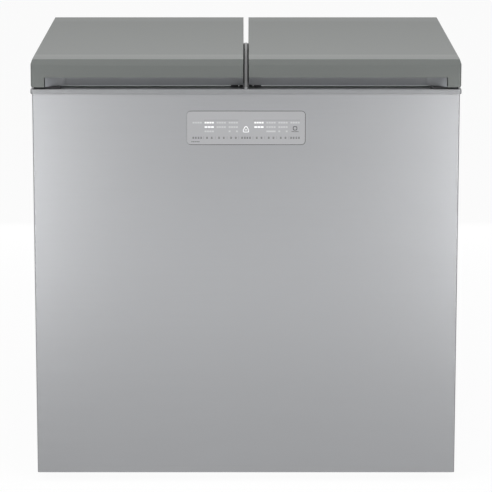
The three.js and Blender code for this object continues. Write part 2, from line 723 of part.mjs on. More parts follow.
function tubPocket() {
  const upper = prismZ(tubOutline(TUB_WALL + FIT), tubStepZ - TUB_WALL - FIT, panelTopZ + PAST);
  const lower = prismZ(tubOutline(TUB_WALL + FIT, tubStepY), tubFloorZ - TUB_WALL - FIT, tubStepZ);
  const flange = prismZ(tubOutline(TUB_FLANGE + FIT), panelTopZ - TUB_WALL - FIT, panelTopZ + PAST);
  const coil = prismZ(
    tubOutline(coilGrow + PIPE_R + FIT), coilLowZ - PIPE_R * 4, coilTopZ + PIPE_R + FIT,
  );
  const crossing = box(
    -PAST, crossingY - PIPE_R - FIT, coilTopZ - PIPE_R - FIT,
    tubInnerX, crossingY + 3 * PIPE_R, coilTopZ + PIPE_R + FIT,
  );
  const tail = box(
    tubMiddleX - tailSlot, tailY - tailSlot, roofZ - PAST,
    tubMiddleX + tailSlot, tailY + PIPE_R + FIT, coilLowZ,
  );
  return join(upper, lower, flange, coil, crossing, tail);
}

function cabinetFoam() {
  const rimTopZ = FLOOR_GAP + PAN_RIM + FIT;
  const block = prismZ(innerOutline(0), rimTopZ, panelTopZ);
  const foot = prismZ(innerOutline(STEP_SHEET + FIT), panTopZ + FIT, rimTopZ);
  const room = box(-sideX, stepY - FIT, 0, sideX, backY, roofZ + FIT);
  const displayPocket = box(
    -caseHalf - FIT, panelFrontY, caseBottomZ - FIT, caseHalf + FIT, caseFrontY + CASE_DEPTH + FIT,
    caseTopZ + FIT,
  );
  const pocket = tubPocket();
  let solid = cut(join(block, foot), room, displayPocket, pocket, mirrored(pocket));
  for (const footSide of [-footX, footX]) {
    const well = rod(NUT_R + WELL_CLEAR, 0, STEM_LENGTH + WELL_MORE);
    solid = cut(solid, moved(well, footSide, footY, 0));
  }
  return part('cabinet_foam', solid, foam);
}

// ---- display -----------------------------------------------------------------------------

const windowBackY = panelFrontY + SHEET + FIT + DISPLAY_FLANGE_THICK;
const caseFrontY = windowBackY + FIT;
const caseHalf = displayHalf + DISPLAY_FLANGE;
const caseTopZ = displayTopZ + DISPLAY_FLANGE;
const caseBottomZ = displayBottomZ - DISPLAY_FLANGE;
const boardY = windowBackY + BOARD_STANDOFF;

function displayWindow() {
  const face = prismY(displayOutline(0), panelFrontY - DISPLAY_PROUD, windowBackY);
  const flange = prismY(
    rectangle(-caseHalf, caseBottomZ, caseHalf, caseTopZ), windowBackY - DISPLAY_FLANGE_THICK, windowBackY,
  );
  return part('display_window', join(face, flange), windowPlastic);
}

function displayBoard() {
  const half = displayHalf - BOARD_MARGIN;
  return part('display_board', box(
    -half, boardY, displayBottomZ + BOARD_MARGIN, half, boardY + BOARD_THICK, displayTopZ - BOARD_MARGIN,
  ), board);
}

function displayCase() {
  const backWallY = caseFrontY + CASE_DEPTH;
  const shell = box(-caseHalf, caseFrontY, caseBottomZ, caseHalf, backWallY, caseTopZ);
  const space = box(
    -caseHalf + CASE_WALL, caseFrontY - PAST, caseBottomZ + CASE_WALL,
    caseHalf - CASE_WALL, backWallY - CASE_WALL, caseTopZ - CASE_WALL,
  );
  let solid = cut(shell, space);
  const bossX = displayHalf - 2 * BOARD_MARGIN;
  const bossZ = [displayBottomZ + 2 * BOARD_MARGIN, displayTopZ - 2 * BOARD_MARGIN];
  for (const x of [-bossX, bossX]) {
    for (const z of bossZ) {
      const boss = prismY(circle(x, z, BOSS_R), boardY + BOARD_THICK + FIT, backWallY - CASE_WALL / 2, 4);
      solid = join(solid, boss);
    }
  }
  return part('display_case', solid, darkPlastic);
}

// ---- feet and rollers --------------------------------------------------------------------

const footX = halfWidth - FOOT_FROM_SIDE;
const footY = frontY + FOOT_BACK;
const rollerX = halfWidth - ROLLER_FROM_SIDE;
const rollerY = bandRearY - ROLLER_FROM_BACK;

function footPad(name) {
  const socketR = STEM_R + FIT;
  return part(name, turned([
    [0, 0], [FOOT_R - FOOT_EDGE, 0], [FOOT_R, FOOT_EDGE], [FOOT_R, FOOT_HEIGHT - FOOT_SLOPE_HEIGHT],
    [FOOT_R - FOOT_SLOPE, FOOT_HEIGHT], [socketR, FOOT_HEIGHT], [socketR, FOOT_SOLE], [0, FOOT_SOLE],
  ], 20), darkPlastic);
}

function footStem(name) {
  const hexZ = FOOT_HEIGHT + FIT;
  const stem = rod(STEM_R, FOOT_SOLE + FIT, FOOT_SOLE + STEM_LENGTH);
  const hexagon = rod(STEM_HEX_R, hexZ, hexZ + STEM_HEX_HEIGHT, 6);
  return part(name, join(stem, hexagon), zinc);
}

function roller(name) {
  const half = ROLLER_WIDTH / 2;
  const bore = boreRadius(AXLE_R);
  return part(name, alongX(turned([
    [bore, -half], [ROLLER_R - ROLLER_BEVEL, -half], [ROLLER_R, -half + ROLLER_BEVEL],
    [ROLLER_R, half - ROLLER_BEVEL], [ROLLER_R - ROLLER_BEVEL, half], [bore, half], [bore, -half],
  ], 2 * ROUND)), darkPlastic);
}

function rollerAxle(name) {
  const half = ROLLER_WIDTH / 2 + ROLLER_SIDE_GAP + AXLE_EAR + FIT;
  const pin = rod(AXLE_R, -half - PIN_HEAD, half + PIN_HEAD);
  const heads = [-half - PIN_HEAD, half].map((z) => rod(AXLE_HEAD_R, z, z + PIN_HEAD));
  return part(name, alongX(join(pin, ...heads)), zinc);
}

// ---- machine room ------------------------------------------------------------------------

const compressorX = -(tubMiddleX + COMPRESSOR_SIDE);
const compressorY = tailY - COMPRESSOR_FRONT;
const plateZ = panTopZ + FIT + GROMMET_SEAT + FIT;
const dischargeX = compressorX + DISCHARGE_SIDE;
const dischargeY = compressorY - DISCHARGE_FORWARD;
const domeZ = plateZ + COMPRESSOR_HEIGHT;

function compressor() {
  const r = COMPRESSOR_R;
  const shell = turned([
    [0, plateZ], [r * SHELL_BASE, plateZ], [r, plateZ + SHELL_BASE_RISE],
    [r, plateZ + COMPRESSOR_HEIGHT * SHELL_STRAIGHT],
    [r * SHELL_SHOULDER, plateZ + COMPRESSOR_HEIGHT * SHELL_SHOULDER_HEIGHT],
    [r * SHELL_TOP, domeZ], [0, domeZ],
  ], 20);
  const halfX = COMPRESSOR_FOOT_X + COMPRESSOR_PLATE_EDGE;
  const halfY = COMPRESSOR_FOOT_Y + COMPRESSOR_PLATE_EDGE;
  const outline = roundedRectangle(-halfX, -halfY, halfX, halfY, COMPRESSOR_PLATE_R);
  for (const [x, y] of compressorFeet()) {
    outline.holes.push(circle(x, y, GROMMET_NECK_R + FIT));
  }
  const plate = prismZ(outline, plateZ, plateZ + COMPRESSOR_PLATE, 6);
  const stubs = [
    [COMPRESSOR_SIDE, COMPRESSOR_FRONT, tailEndZ - FIT, PIPE_R],
    [DISCHARGE_SIDE, -DISCHARGE_FORWARD, dischargeZ - FIT, CONDENSER_PIPE_R],
  ].map(([x, y, top, pipeR]) => moved(rod(pipeR + STUB_WALL, domeZ - STUB_ROOT, top, 10), x, y, 0));
  const terminals = box(
    -r - TERMINAL_PROUD, -TERMINAL_HALF, plateZ + TERMINAL_LOW,
    -r / 2, TERMINAL_HALF, plateZ + TERMINAL_HIGH,
  );
  return at(part('compressor', join(shell, plate, ...stubs, terminals), blackSteel),
    compressorX, compressorY, 0);
}

function compressorFeet() {
  return [-1, 1].flatMap((u) => [-1, 1].map((v) => [u * COMPRESSOR_FOOT_X, v * COMPRESSOR_FOOT_Y]));
}

function grommet(name) {
  const seat = GROMMET_SEAT;
  const neckTop = seat + FIT + COMPRESSOR_PLATE + FIT;
  return part(name, turned([
    [GROMMET_R, 0], [GROMMET_R, seat], [GROMMET_NECK_R, seat], [GROMMET_NECK_R, neckTop],
    [GROMMET_CAP_R, neckTop], [GROMMET_TIP_R, neckTop + GROMMET_CAP], [BOLT_HOLE_R, neckTop + GROMMET_CAP],
    [BOLT_HOLE_R, 0], [GROMMET_R, 0],
  ]), rubber);
}

const condenserTopZ = panTopZ + CONDENSER_LOW + CONDENSER_PITCH * (CONDENSER_RUNS - 1);
const condenserFrontY = stepY + STEP_SHEET + CONDENSER_FRONT;
const condenserRight = CONDENSER_LEFT + CONDENSER_LENGTH;
const dischargeZ = domeZ + DISCHARGE_RISE;
const drierTopZ = tailEndZ - FIT;
const drierBottomZ = drierTopZ - DRIER_LENGTH;

function condenser() {
  const [left, right] = [CONDENSER_LEFT, condenserRight];
  const frontLayer = condenserFrontY;
  const rearLayer = condenserFrontY + CONDENSER_LAYER_GAP;
  const downX = right + CONDENSER_PITCH * 0.6;
  const lowZ = drierBottomZ - CONDENSER_PITCH;
  const corners = [
    v3(dischargeX, dischargeY, dischargeZ), v3(dischargeX, dischargeY, condenserTopZ),
    v3(dischargeX + CONDENSER_TAKE_OFF, dischargeY, condenserTopZ),
    v3(dischargeX + CONDENSER_TAKE_OFF + CONDENSER_SLANT, frontLayer, condenserTopZ),
  ];
  for (let run = 0; run < CONDENSER_RUNS; run += 1) {
    const z = condenserTopZ - run * CONDENSER_PITCH;
    const ends = run % 2 === 0 ? [left, right] : [right, left];
    if (run > 0) corners.push(v3(ends[0], frontLayer, z));
    corners.push(v3(ends[1], frontLayer, z));
  }
  const lastEnd = CONDENSER_RUNS % 2 === 0 ? [left, right] : [right, left];
  for (let run = 0; run < CONDENSER_RUNS - 1; run += 1) {
    const z = condenserTopZ - (CONDENSER_RUNS - 1 - run) * CONDENSER_PITCH;
    const ends = run % 2 === 0 ? lastEnd : [...lastEnd].reverse();
    corners.push(v3(ends[0], rearLayer, z));
    corners.push(v3(run === CONDENSER_RUNS - 2 ? downX : ends[1], rearLayer, z));
  }
  corners.push(
    v3(downX, tailY, condenserTopZ - CONDENSER_PITCH), v3(downX, tailY, lowZ),
    v3(tubMiddleX, tailY, lowZ), v3(tubMiddleX, tailY, drierBottomZ - FIT),
  );
  let solid = pipe(bent(corners, CONDENSER_PITCH / 2), CONDENSER_PIPE_R, 5);
  for (const x of [left + CONDENSER_PITCH, right - CONDENSER_PITCH]) {
    const holder = box(
      x, frontLayer - HOLDER_EDGE, panTopZ + FIT,
      x + HOLDER_THICK, rearLayer + HOLDER_EDGE, condenserTopZ + HOLDER_EDGE,
    );
    solid = join(solid, holder);
  }
  return part('condenser', solid, blackSteel);
}

function filterDrier() {
  return at(part('filter_drier', turned([
    [0, 0], [CONDENSER_PIPE_R + 1, 0], [DRIER_R, DRIER_CONE], [DRIER_R, DRIER_LENGTH - DRIER_CONE],
    [CONDENSER_PIPE_R + 1, DRIER_LENGTH], [0, DRIER_LENGTH],
  ]), copper), tubMiddleX, tailY, drierBottomZ);
}

const fanCentreZ = panTopZ + FIT + FAN_RAISE + FAN_SIZE / 2;
const fanCentreY = condenserFrontY + CONDENSER_LAYER_GAP / 2;

// Built about the fan's axis, which lies along X.
function fanFrame() {
  const half = FAN_SIZE / 2;
  const outline = roundedRectangle(-half, -half, half, half, FAN_CORNER_R);
  outline.holes.push(circle(0, 0, FAN_BORE_R));
  const duct = prismX(outline, 0, FAN_DEPTH, 10);
  const hub = alongX(rod(FAN_HUB_R, 0, FAN_MOTOR_PLATE));
  const shaft = alongX(rod(FAN_SHAFT_R, 0, FAN_DEPTH - FAN_ROTOR_INSET));
  const struts = Array.from({ length: FAN_STRUTS }, (_, i) => {
    const strut = box(
      0, -FAN_STRUT_WIDTH / 2, FAN_HUB_R - JOIN,
      FAN_STRUT_THICK, FAN_STRUT_WIDTH / 2, FAN_BORE_R + PAST,
    );
    return toSolid(toGeometry(strut).rotateX((i * Math.PI * 2) / FAN_STRUTS));
  });
  const leg = box(
    FAN_STRUT_THICK, -half + FAN_LEG_INSET, -half - FAN_RAISE,
    2 * FAN_STRUT_THICK, half - FAN_LEG_INSET, -half + PAST,
  );
  return at(part('fan_frame', join(duct, hub, shaft, ...struts, leg), darkPlastic),
    FAN_CENTRE_X, fanCentreY, fanCentreZ);
}

function fanRotor() {
  const start = FAN_MOTOR_PLATE + FIT;
  const end = FAN_DEPTH - FAN_ROTOR_INSET;
  const cup = alongX(ring(boreRadius(FAN_SHAFT_R), FAN_HUB_R, start, end));
  const tipR = FAN_BORE_R - FAN_TIP_CLEAR;
  let rotor = cup;
  for (let i = 0; i < FAN_BLADES; i += 1) {
    const blade = new THREE.BoxGeometry(FAN_BLADE_THICK, FAN_BLADE_WIDTH, tipR - FAN_HUB_R + JOIN);
    blade.rotateZ(-FAN_BLADE_ANGLE).translate((start + end) / 2, 0, (tipR + FAN_HUB_R - JOIN) / 2);
    blade.rotateX((i * Math.PI * 2) / FAN_BLADES);
    rotor = join(rotor, toSolid(blade));
  }
  return at(part('fan_rotor', rotor, darkPlastic), FAN_CENTRE_X, fanCentreY, fanCentreZ);
}

function controlBox() {
  const x1 = insideX - BOX_FROM_SIDE;
  const x0 = x1 - BOX_WIDTH;
  const y0 = stepY + STEP_SHEET + BOX_FROM_SIDE;
  const y1 = y0 + BOX_DEPTH;
  const z0 = panTopZ + FIT + BOX_RAISE;
  const z1 = z0 + BOX_HEIGHT;
  const w = BOX_WALL;
  const space = box(x0 + w, y0 + w, z0 + w, x1 - w, y1 - w, z1 + PAST);
  const legs = [y0, y0 + BOX_DEPTH / 2].map((y) => (
    box(x0, y, panTopZ + FIT, x0 + BOX_LEG, y + BOX_LEG, z0 + w)
  ));
  return part('control_box', join(cut(box(x0, y0, z0, x1, y1, z1), space), ...legs), darkPlastic);
}

const inletX = rearHalf - INLET_FROM_SIDE;
const inletZ = roofZ - INLET_BELOW_ROOF;

function machineCover() {
  const cutters = [];
  for (let row = 0; row < LOUVRE_ROWS; row += 1) {
    for (let column = 0; column < LOUVRE_COLUMNS; column += 1) {
      const x = (column - (LOUVRE_COLUMNS - 1) / 2) * LOUVRE_PITCH_X - LOUVRE_WIDTH / 2;
      const z = FLOOR_GAP + LOUVRE_BOTTOM + row * LOUVRE_PITCH_Z;
      cutters.push(box(x, backY - SHEET - PAST, z, x + LOUVRE_WIDTH, backY + PAST, z + LOUVRE_HEIGHT));
    }
  }
  cutters.push(prismY(circle(inletX, inletZ, INLET_R + FIT), backY - SHEET - PAST, backY + PAST, 8));
  const plate = box(-rearHalf, backY - SHEET, FLOOR_GAP, rearHalf, backY, roofZ);
  return part('machine_cover', cut(plate, ...cutters), galvanised);
}

function powerInlet() {
  const bush = turned([
    [INLET_FLANGE_R, 0], [INLET_FLANGE_R, INLET_FLANGE], [INLET_R - INLET_TAPER, INLET_NOSE],
    [INLET_BORE_R, INLET_NOSE], [INLET_BORE_R, -INLET_NECK], [INLET_R, -INLET_NECK], [INLET_R, 0],
    [INLET_FLANGE_R, 0],
  ], 16);
  const solid = toSolid(toGeometry(bush).rotateX(-Math.PI / 2));
  return at(part('power_inlet', solid, darkPlastic), inletX, backY + FIT, inletZ);
}

// ---- lids --------------------------------------------------------------------------------

// The right lid's outer form, drawn in by inset on every side, from the height bottom up.
function lidForm(inset, bottom) {
  const [x0, x1] = [lidInnerX + inset, lidOuterX - inset];
  const [y0, y1] = [frontY + inset, lidRearY - inset];
  const top = HEIGHT - inset;
  const chamferTop = top - LID_CROWN_DROP;
  const profile = polygon([
    [y0, bottom], [y1, bottom], [y1, top - LID_REAR_DROP - LID_REAR_BEVEL],
    [y1 - LID_REAR_BEVEL, top - LID_REAR_DROP],
    [y1 - LID_REAR_STRIP, top], [y0 + LID_CROWN_LENGTH, top],
    [y0 + LID_CHAMFER_DEPTH + 2 * LID_BREAK, chamferTop], [y0 + LID_CHAMFER_DEPTH, chamferTop - LID_BREAK],
    [y0, top - LID_CHAMFER_HEIGHT - LID_CROWN_DROP],
  ]);
  const along = prismX(profile, x0, x1);
  // The ends are drawn a little higher than the top, so that the two prisms share no face there.
  const end = polygon([
    [x0, bottom], [x1 - LID_UNDER_BEVEL_WIDTH, bottom], [x1, bottom + LID_UNDER_BEVEL_HEIGHT],
    [x1, top - LID_CHAMFER_HEIGHT], [x1 - LID_CHAMFER_DEPTH + LID_BREAK, top - LID_BREAK],
    [x1 - LID_CHAMFER_DEPTH - LID_BREAK, top + TOUCH], [x0 + LID_SOFT_EDGE, top + TOUCH],
    [x0, top - LID_SOFT_EDGE],
  ]);
  const across = prismY(end, y0, y1);
  const plan = new THREE.Shape();
  const [rOut, rIn] = [LID_CORNER_R, LID_INNER_R];
  plan.absarc(x0 + rIn, y0 + rIn, rIn, Math.PI, Math.PI * 1.5, false);
  plan.absarc(x1 - rOut, y0 + rOut, rOut, Math.PI * 1.5, Math.PI * 2, false);
  plan.absarc(x1 - rOut, y1 - rOut, rOut, 0, Math.PI / 2, false);
  plan.absarc(x0 + rIn, y1 - rIn, rIn, Math.PI / 2, Math.PI, false);
  return along.intersect(across).intersect(prismZ(plan, bottom, HEIGHT + PAST, 3));
}

// The finger recess under the lid's front edge, open at the inner end, or that grown by a wall.
function recessForm(grow) {
  const rearY = frontY + RECESS_DEPTH + grow;
  const endX = lidOuterX - RECESS_END + grow;
  const plan = new THREE.Shape();
  plan.moveTo(0, frontY - PAST);
  plan.lineTo(endX, frontY - PAST);
  plan.lineTo(endX, frontY);
  plan.absellipse(
    endX - RECESS_END_CURVE, frontY, RECESS_END_CURVE, RECESS_DEPTH + grow, 0, Math.PI / 2, false,
  );
  plan.lineTo(0, rearY);
  return prismZ(plan, lidBottomZ - PAST, lidBottomZ + RECESS_HEIGHT + grow, 5);
}

// The space inside the lid's cover, drawn in by clear, between two heights.
function lidInside(clear, z0, z1) {
  const inset = LID_WALL + clear;
  const slab = box(0, frontY, z0, halfWidth, lidRearY, z1);
  return cut(lidForm(inset, lidBottomZ - PAST), recessForm(inset)).intersect(slab);
}

function lidCover(side) {
  const inside = cut(lidForm(LID_WALL, lidBottomZ - PAST), recessForm(LID_WALL));
  const right = cut(lidForm(0, lidBottomZ), inside, recessForm(0));
  return lidPart('lid_cover', side, right, lidPlastic);
}

// Names a solid of the right lid, or its mirror image for the left one.
function lidPart(name, side, right, look) {
  if (side > 0) return part(`${name}_right`, right, look);
  return part(`${name}_left`, mirrored(right), look);
}

const lip = {
  x0: lidInnerX + LIP_INSET,
  x1: lidOuterX - LIP_INSET,
  y0: lipFrontY,
  y1: lidRearY - LIP_INSET,
};
const plug = {
  x0: tubInnerX + PLUG_CLEAR,
  x1: tubOuterX - PLUG_CLEAR,
  y0: tubFrontY + PLUG_CLEAR,
  y1: tubRearY - PLUG_CLEAR,
  r: TUB_CORNER_R - PLUG_CLEAR,
};
const plugZ = lipZ - PLUG_DEPTH;
const padX = PAD_FROM_CENTRE;
const padY = lipFrontY - PAD_OVERHANG + PAD_R;

function frameOutline(inset) {
  return rectangle(lip.x0 + inset, lip.y0 + inset, lip.x1 - inset, lip.y1 - inset);
}

function lidLiner(side) {
  const plate = lidInside(FIT, linerPlateZ, linerPlateZ + LINER_PLATE);
  const lipPlate = prismZ(frameOutline(0), lipZ, lidBottomZ - FIT);
  const neck = lidInside(FIT, lidBottomZ - PAST, linerPlateZ + PAST).intersect(
    prismZ(frameOutline(0), lipZ, linerPlateZ + PAST),
  );
  const plugOuter = prismZ(
    roundedRectangle(plug.x0, plug.y0, plug.x1, plug.y1, plug.r), plugZ, lipZ + PAST,
  );
  const plugSpace = prismZ(roundedRectangle(
    plug.x0 + PLUG_WALL, plug.y0 + PLUG_WALL, plug.x1 - PLUG_WALL, plug.y1 - PLUG_WALL,
    plug.r - PLUG_WALL,
  ), plugZ + PLUG_WALL, HEIGHT);
  const grooveOuter = prismZ(frameOutline(GASKET_INSET - FIT), lipZ - PAST, lipZ + GASKET_GROOVE);
  const grooveInner = prismZ(frameOutline(GASKET_INSET + GASKET_WIDTH + FIT), lipZ - PAST, HEIGHT);
  const groove = cut(grooveOuter, grooveInner);
  const padNotch = moved(rod(PAD_R + FIT, lipZ - PAST, lidBottomZ, PAD_SIDES), padX, padY, 0);
  const solid = cut(join(plate, lipPlate, neck, plugOuter), plugSpace, groove, padNotch);
  return lidPart('lid_liner', side, solid, linerPlastic);
}

function lidFoam(side) {
  const shell = lidInside(FIT, linerPlateZ + LINER_PLATE + FIT, HEIGHT);
  const grow = PLUG_WALL + FIT;
  const fill = prismZ(roundedRectangle(
    plug.x0 + grow, plug.y0 + grow, plug.x1 - grow, plug.y1 - grow, plug.r - grow,
  ), plugZ + grow, linerPlateZ + LINER_PLATE + PAST);
  return lidPart('lid_foam', side, join(shell, fill), foam);
}

function lidGasket(side) {
  const outer = prismZ(frameOutline(GASKET_INSET), deckTopZ + FIT, lipZ + GASKET_GROOVE - FIT);
  const hole = prismZ(frameOutline(GASKET_INSET + GASKET_WIDTH), deckTopZ, lidBottomZ + PAST);
  const pad = moved(rod(PAD_R + 2 * FIT, deckTopZ, HEIGHT, PAD_SIDES), padX, padY, 0);
  return lidPart('lid_gasket', side, cut(outer, hole, pad), rubber);
}

function lidPad(side) {
  const pad = moved(rod(PAD_R, deckTopZ + FIT, lidBottomZ - FIT, PAD_SIDES), padX, padY, 0);
  return lidPart('lid_pad', side, pad, rubber);
}

// ---- hinges, built about the pin's axis along X ------------------------------------------

const armFrontY = lidRearY + FIT - hingeY;
const armRearY = armFrontY + ARM_PLATE;
const bracketFrontY = -BRACKET_TO_PIN - BRACKET_PLATE;
const bracketEarX = ARM_HALF + FIT;

function hingeArm(name) {
  const plate = box(-ARM_HALF, armFrontY, -ARM_BELOW, ARM_HALF, armRearY, ARM_ABOVE);
  const outline = new THREE.Shape();
  outline.moveTo(armFrontY + PAST, EAR_R + ARM_FILLET_ABOVE);
  outline.lineTo(armFrontY + PAST, -EAR_R - ARM_FILLET_BELOW);
  outline.absarc(0, 0, EAR_R, -Math.PI / 2, Math.PI / 2, false);
  let arm = plate;
  for (const x of [-ARM_HALF, ARM_HALF - EAR]) arm = join(arm, prismX(outline, x, x + EAR, 4));
  const bore = alongX(rod(boreRadius(PIN_R), -ARM_HALF - PAST, ARM_HALF + PAST));
  return part(name, cut(arm, bore), zinc);
}

function hingeBracket(name) {
  const half = bracketEarX + EAR;
  const plate = box(-half, bracketFrontY, -BRACKET_BELOW, half, -BRACKET_TO_PIN, -BRACKET_TOP_BELOW);
  const seatY = backY + FIT - hingeY;
  const seat = box(-half, seatY, -BRACKET_BELOW, half, bracketFrontY + PAST, bandBottomZ - FIT - hingeZ);
  const outline = new THREE.Shape();
  outline.moveTo(bracketFrontY, -BRACKET_TOP_BELOW);
  outline.lineTo(bracketFrontY, -BRACKET_TOP_BELOW - BRACKET_EAR_FOOT);
  outline.lineTo(-BRACKET_TO_PIN, -BRACKET_TOP_BELOW - BRACKET_EAR_FOOT);
  outline.absarc(0, 0, EAR_R, -Math.PI / 4, Math.PI * 0.75, false);
  let bracket = join(plate, seat);
  for (const x of [-half, bracketEarX]) bracket = join(bracket, prismX(outline, x, x + EAR, 4));
  const bore = alongX(rod(boreRadius(PIN_R), -half - PAST, half + PAST));
  return part(name, cut(bracket, bore), zinc);
}

function hingePin(name) {
  const half = bracketEarX + EAR + FIT;
  const pin = rod(PIN_R, -half - PIN_HEAD, half + PIN_HEAD);
  const heads = [-half - PIN_HEAD, half].map((z) => rod(PIN_R + PIN_HEAD_MORE_R, z, z + PIN_HEAD));
  return part(name, alongX(join(pin, ...heads)), zinc);
}

function springPoints() {
  const perTurn = SPRING_TURN_STEPS;
  const legY = (armRearY + bracketFrontY) / 2;
  const start = (-SPRING_TURNS * SPRING_PITCH) / 2;
  const points = [v3(start, legY, -SPRING_SHORT_LEG), v3(start, legY, -SPRING_R)];
  for (let i = 0; i <= SPRING_TURNS * perTurn; i += 1) {
    const angle = Math.PI - (i / perTurn) * Math.PI * 2;
    const x = start + (i / perTurn) * SPRING_PITCH;
    points.push(v3(x, SPRING_R * Math.cos(angle), SPRING_R * Math.sin(angle)));
  }
  const end = start + SPRING_TURNS * SPRING_PITCH + SPRING_PITCH / 2;
  points.push(v3(end, legY, -SPRING_R - SPRING_BEND), v3(end, legY, -SPRING_LONG_LEG));
  return points;
}

function hingeSpring(name) {
  return part(name, pipe(springPoints(), SPRING_WIRE_R, 5), zinc);
}

function hinge(label, x) {
  const group = new THREE.Group();
  group.add(
    hingeArm(`hinge_arm_${label}`), hingeBracket(`hinge_bracket_${label}`),
    hingePin(`hinge_pin_${label}`), hingeSpring(`hinge_spring_${label}`),
  );
  return at(group, x, hingeY, hingeZ);
}

// ---- the object --------------------------------------------------------------------------

function lid(side) {
  const group = new THREE.Group();
  group.add(lidCover(side), lidFoam(side), lidLiner(side), lidGasket(side), lidPad(side));
  return group;
}

function cabinet() {
  const group = new THREE.Group();
  group.add(frontPanel(), sidePanel(-1), sidePanel(1), backPanel(), basePan(), topFrame());
  group.add(tub(-1), tub(1), cabinetFoam(), evaporator(-1), evaporator(1));
  group.add(displayWindow(), displayBoard(), displayCase());
  return group;
}

function machineRoom() {
  const group = new THREE.Group();
  group.add(machineCover(), compressor(), condenser(), filterDrier());
  group.add(fanFrame(), fanRotor(), controlBox(), powerInlet());
  compressorFeet().forEach(([x, y], i) => {
    group.add(at(grommet(`compressor_grommet_${i + 1}`), compressorX + x, compressorY + y, panTopZ + FIT));
  });
  return group;
}

function undercarriage() {
  const group = new THREE.Group();
  for (const [label, side] of [['left', -1], ['right', 1]]) {
    group.add(at(footPad(`foot_pad_${label}`), side * footX, footY, 0));
    group.add(at(footStem(`foot_stem_${label}`), side * footX, footY, 0));
    group.add(at(roller(`roller_${label}`), side * rollerX, rollerY, ROLLER_R));
    group.add(at(rollerAxle(`roller_axle_${label}`), side * rollerX, rollerY, ROLLER_R));
  }
  return group;
}

function hinges() {
  const group = new THREE.Group();
  const outer = lidOuterX - HINGE_FROM_SIDE;
  const inner = lidInnerX + HINGE_FROM_SIDE;
  group.add(
    hinge('left_outer', -outer), hinge('left_inner', -inner),
    hinge('right_inner', inner), hinge('right_outer', outer),
  );
  return group;
}

const springGap = leastGap(springPoints(), SPRING_WIRE_R, SPRING_TURN_STEPS);
const coilGap = leastGap(coilPoints(), PIPE_R, 4 * (COIL_CORNER_STEPS + 1));
console.log(`least gap between turns: springs ${springGap.toFixed(2)}, coils ${coilGap.toFixed(2)} mm`);

const refrigerator = new THREE.Group();
refrigerator.add(cabinet(), machineRoom(), undercarriage(), lid(-1), lid(1), hinges());

export default refrigerator;
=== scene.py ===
import json
import math

import bmesh
import bpy
from mathutils import Matrix, Vector


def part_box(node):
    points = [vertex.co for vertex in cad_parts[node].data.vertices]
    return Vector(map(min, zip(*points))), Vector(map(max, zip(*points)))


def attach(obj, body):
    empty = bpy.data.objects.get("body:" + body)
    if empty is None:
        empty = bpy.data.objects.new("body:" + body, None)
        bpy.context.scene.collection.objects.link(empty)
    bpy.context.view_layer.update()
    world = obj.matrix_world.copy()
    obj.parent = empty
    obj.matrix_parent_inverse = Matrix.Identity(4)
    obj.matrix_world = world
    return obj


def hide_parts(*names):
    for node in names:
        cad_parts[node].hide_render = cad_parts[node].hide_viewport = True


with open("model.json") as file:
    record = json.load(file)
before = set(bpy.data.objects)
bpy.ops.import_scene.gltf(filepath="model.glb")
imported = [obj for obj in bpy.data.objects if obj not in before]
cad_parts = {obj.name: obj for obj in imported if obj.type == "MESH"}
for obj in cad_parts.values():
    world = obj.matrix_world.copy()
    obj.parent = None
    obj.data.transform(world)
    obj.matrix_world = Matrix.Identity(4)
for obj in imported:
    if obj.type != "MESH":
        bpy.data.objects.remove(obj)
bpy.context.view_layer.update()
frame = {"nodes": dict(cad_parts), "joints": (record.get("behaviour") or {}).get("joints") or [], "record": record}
MM = 0.001
scene = bpy.context.scene

# ---- camera ------------------------------------------------------------------------------

IMAGE_WIDTH = 492
SENSOR = 36.0
CAMERA_PLACE = (0.0, -6.30, 1.741)
CAMERA_PITCH = 11.56  # degrees below the horizon
CAMERA_FOCAL = 2786.4  # pixels

camera = bpy.data.objects.new("camera", bpy.data.cameras.new("camera"))
scene.collection.objects.link(camera)
camera.location = CAMERA_PLACE
camera.rotation_euler = (math.radians(90 - CAMERA_PITCH), 0, 0)
camera.data.sensor_width = SENSOR
camera.data.lens = CAMERA_FOCAL / IMAGE_WIDTH * SENSOR
scene.camera = camera

# ---- light and floor -----------------------------------------------------------------------

WORLD_LIGHT = 0.34
FLOOR_HALF = 30.0  # metres
FLOOR_COLOUR = (0.82, 0.82, 0.82, 1)
FLOOR_WHITE_SHARE = 0.94  # how much of the floor the camera sees as white; the rest shows the shadow
WHITE = (1, 1, 1, 1)
LAMPS = (  # name, place, target, size, watts
    ("key", (-2.6, -3.4, 3.4), (0, 0, 0.5), (2.6, 2.6), 55),
    ("fill", (3.0, -3.4, 2.2), (0, 0, 0.5), (2.4, 2.4), 36),
    ("top", (0.1, -1.3, 4.0), (0, 0, 0.6), (3.0, 2.2), 74),
    ("rear", (0.0, 2.6, 0.47), (0, 0.38, 0.47), (4.2, 0.8), 22),
    ("strip_left", (-0.74, -1.2, 0.54), (-0.3, -0.38, 0.44), (0.14, 0.7), 3.3),
    ("strip_right", (0.74, -1.2, 0.54), (0.3, -0.38, 0.44), (0.14, 0.7), 3.1),
    ("front", (0.0, -1.5, 0.24), (0, -0.38, 0.34), (0.9, 0.26), 0.8),
)

scene.view_settings.view_transform = "Standard"


def background_rays(tree):
    """1 for rays that see the backdrop as white: from the camera, a reflection or a refraction."""
    path = tree.nodes.new("ShaderNodeLightPath")
    first = tree.nodes.new("ShaderNodeMath")
    first.operation = "MAXIMUM"
    second = tree.nodes.new("ShaderNodeMath")
    second.operation = "MAXIMUM"
    tree.links.new(path.outputs["Is Camera Ray"], first.inputs[0])
    tree.links.new(path.outputs["Is Glossy Ray"], first.inputs[1])
    tree.links.new(first.outputs[0], second.inputs[0])
    tree.links.new(path.outputs["Is Transmission Ray"], second.inputs[1])
    return second.outputs[0]


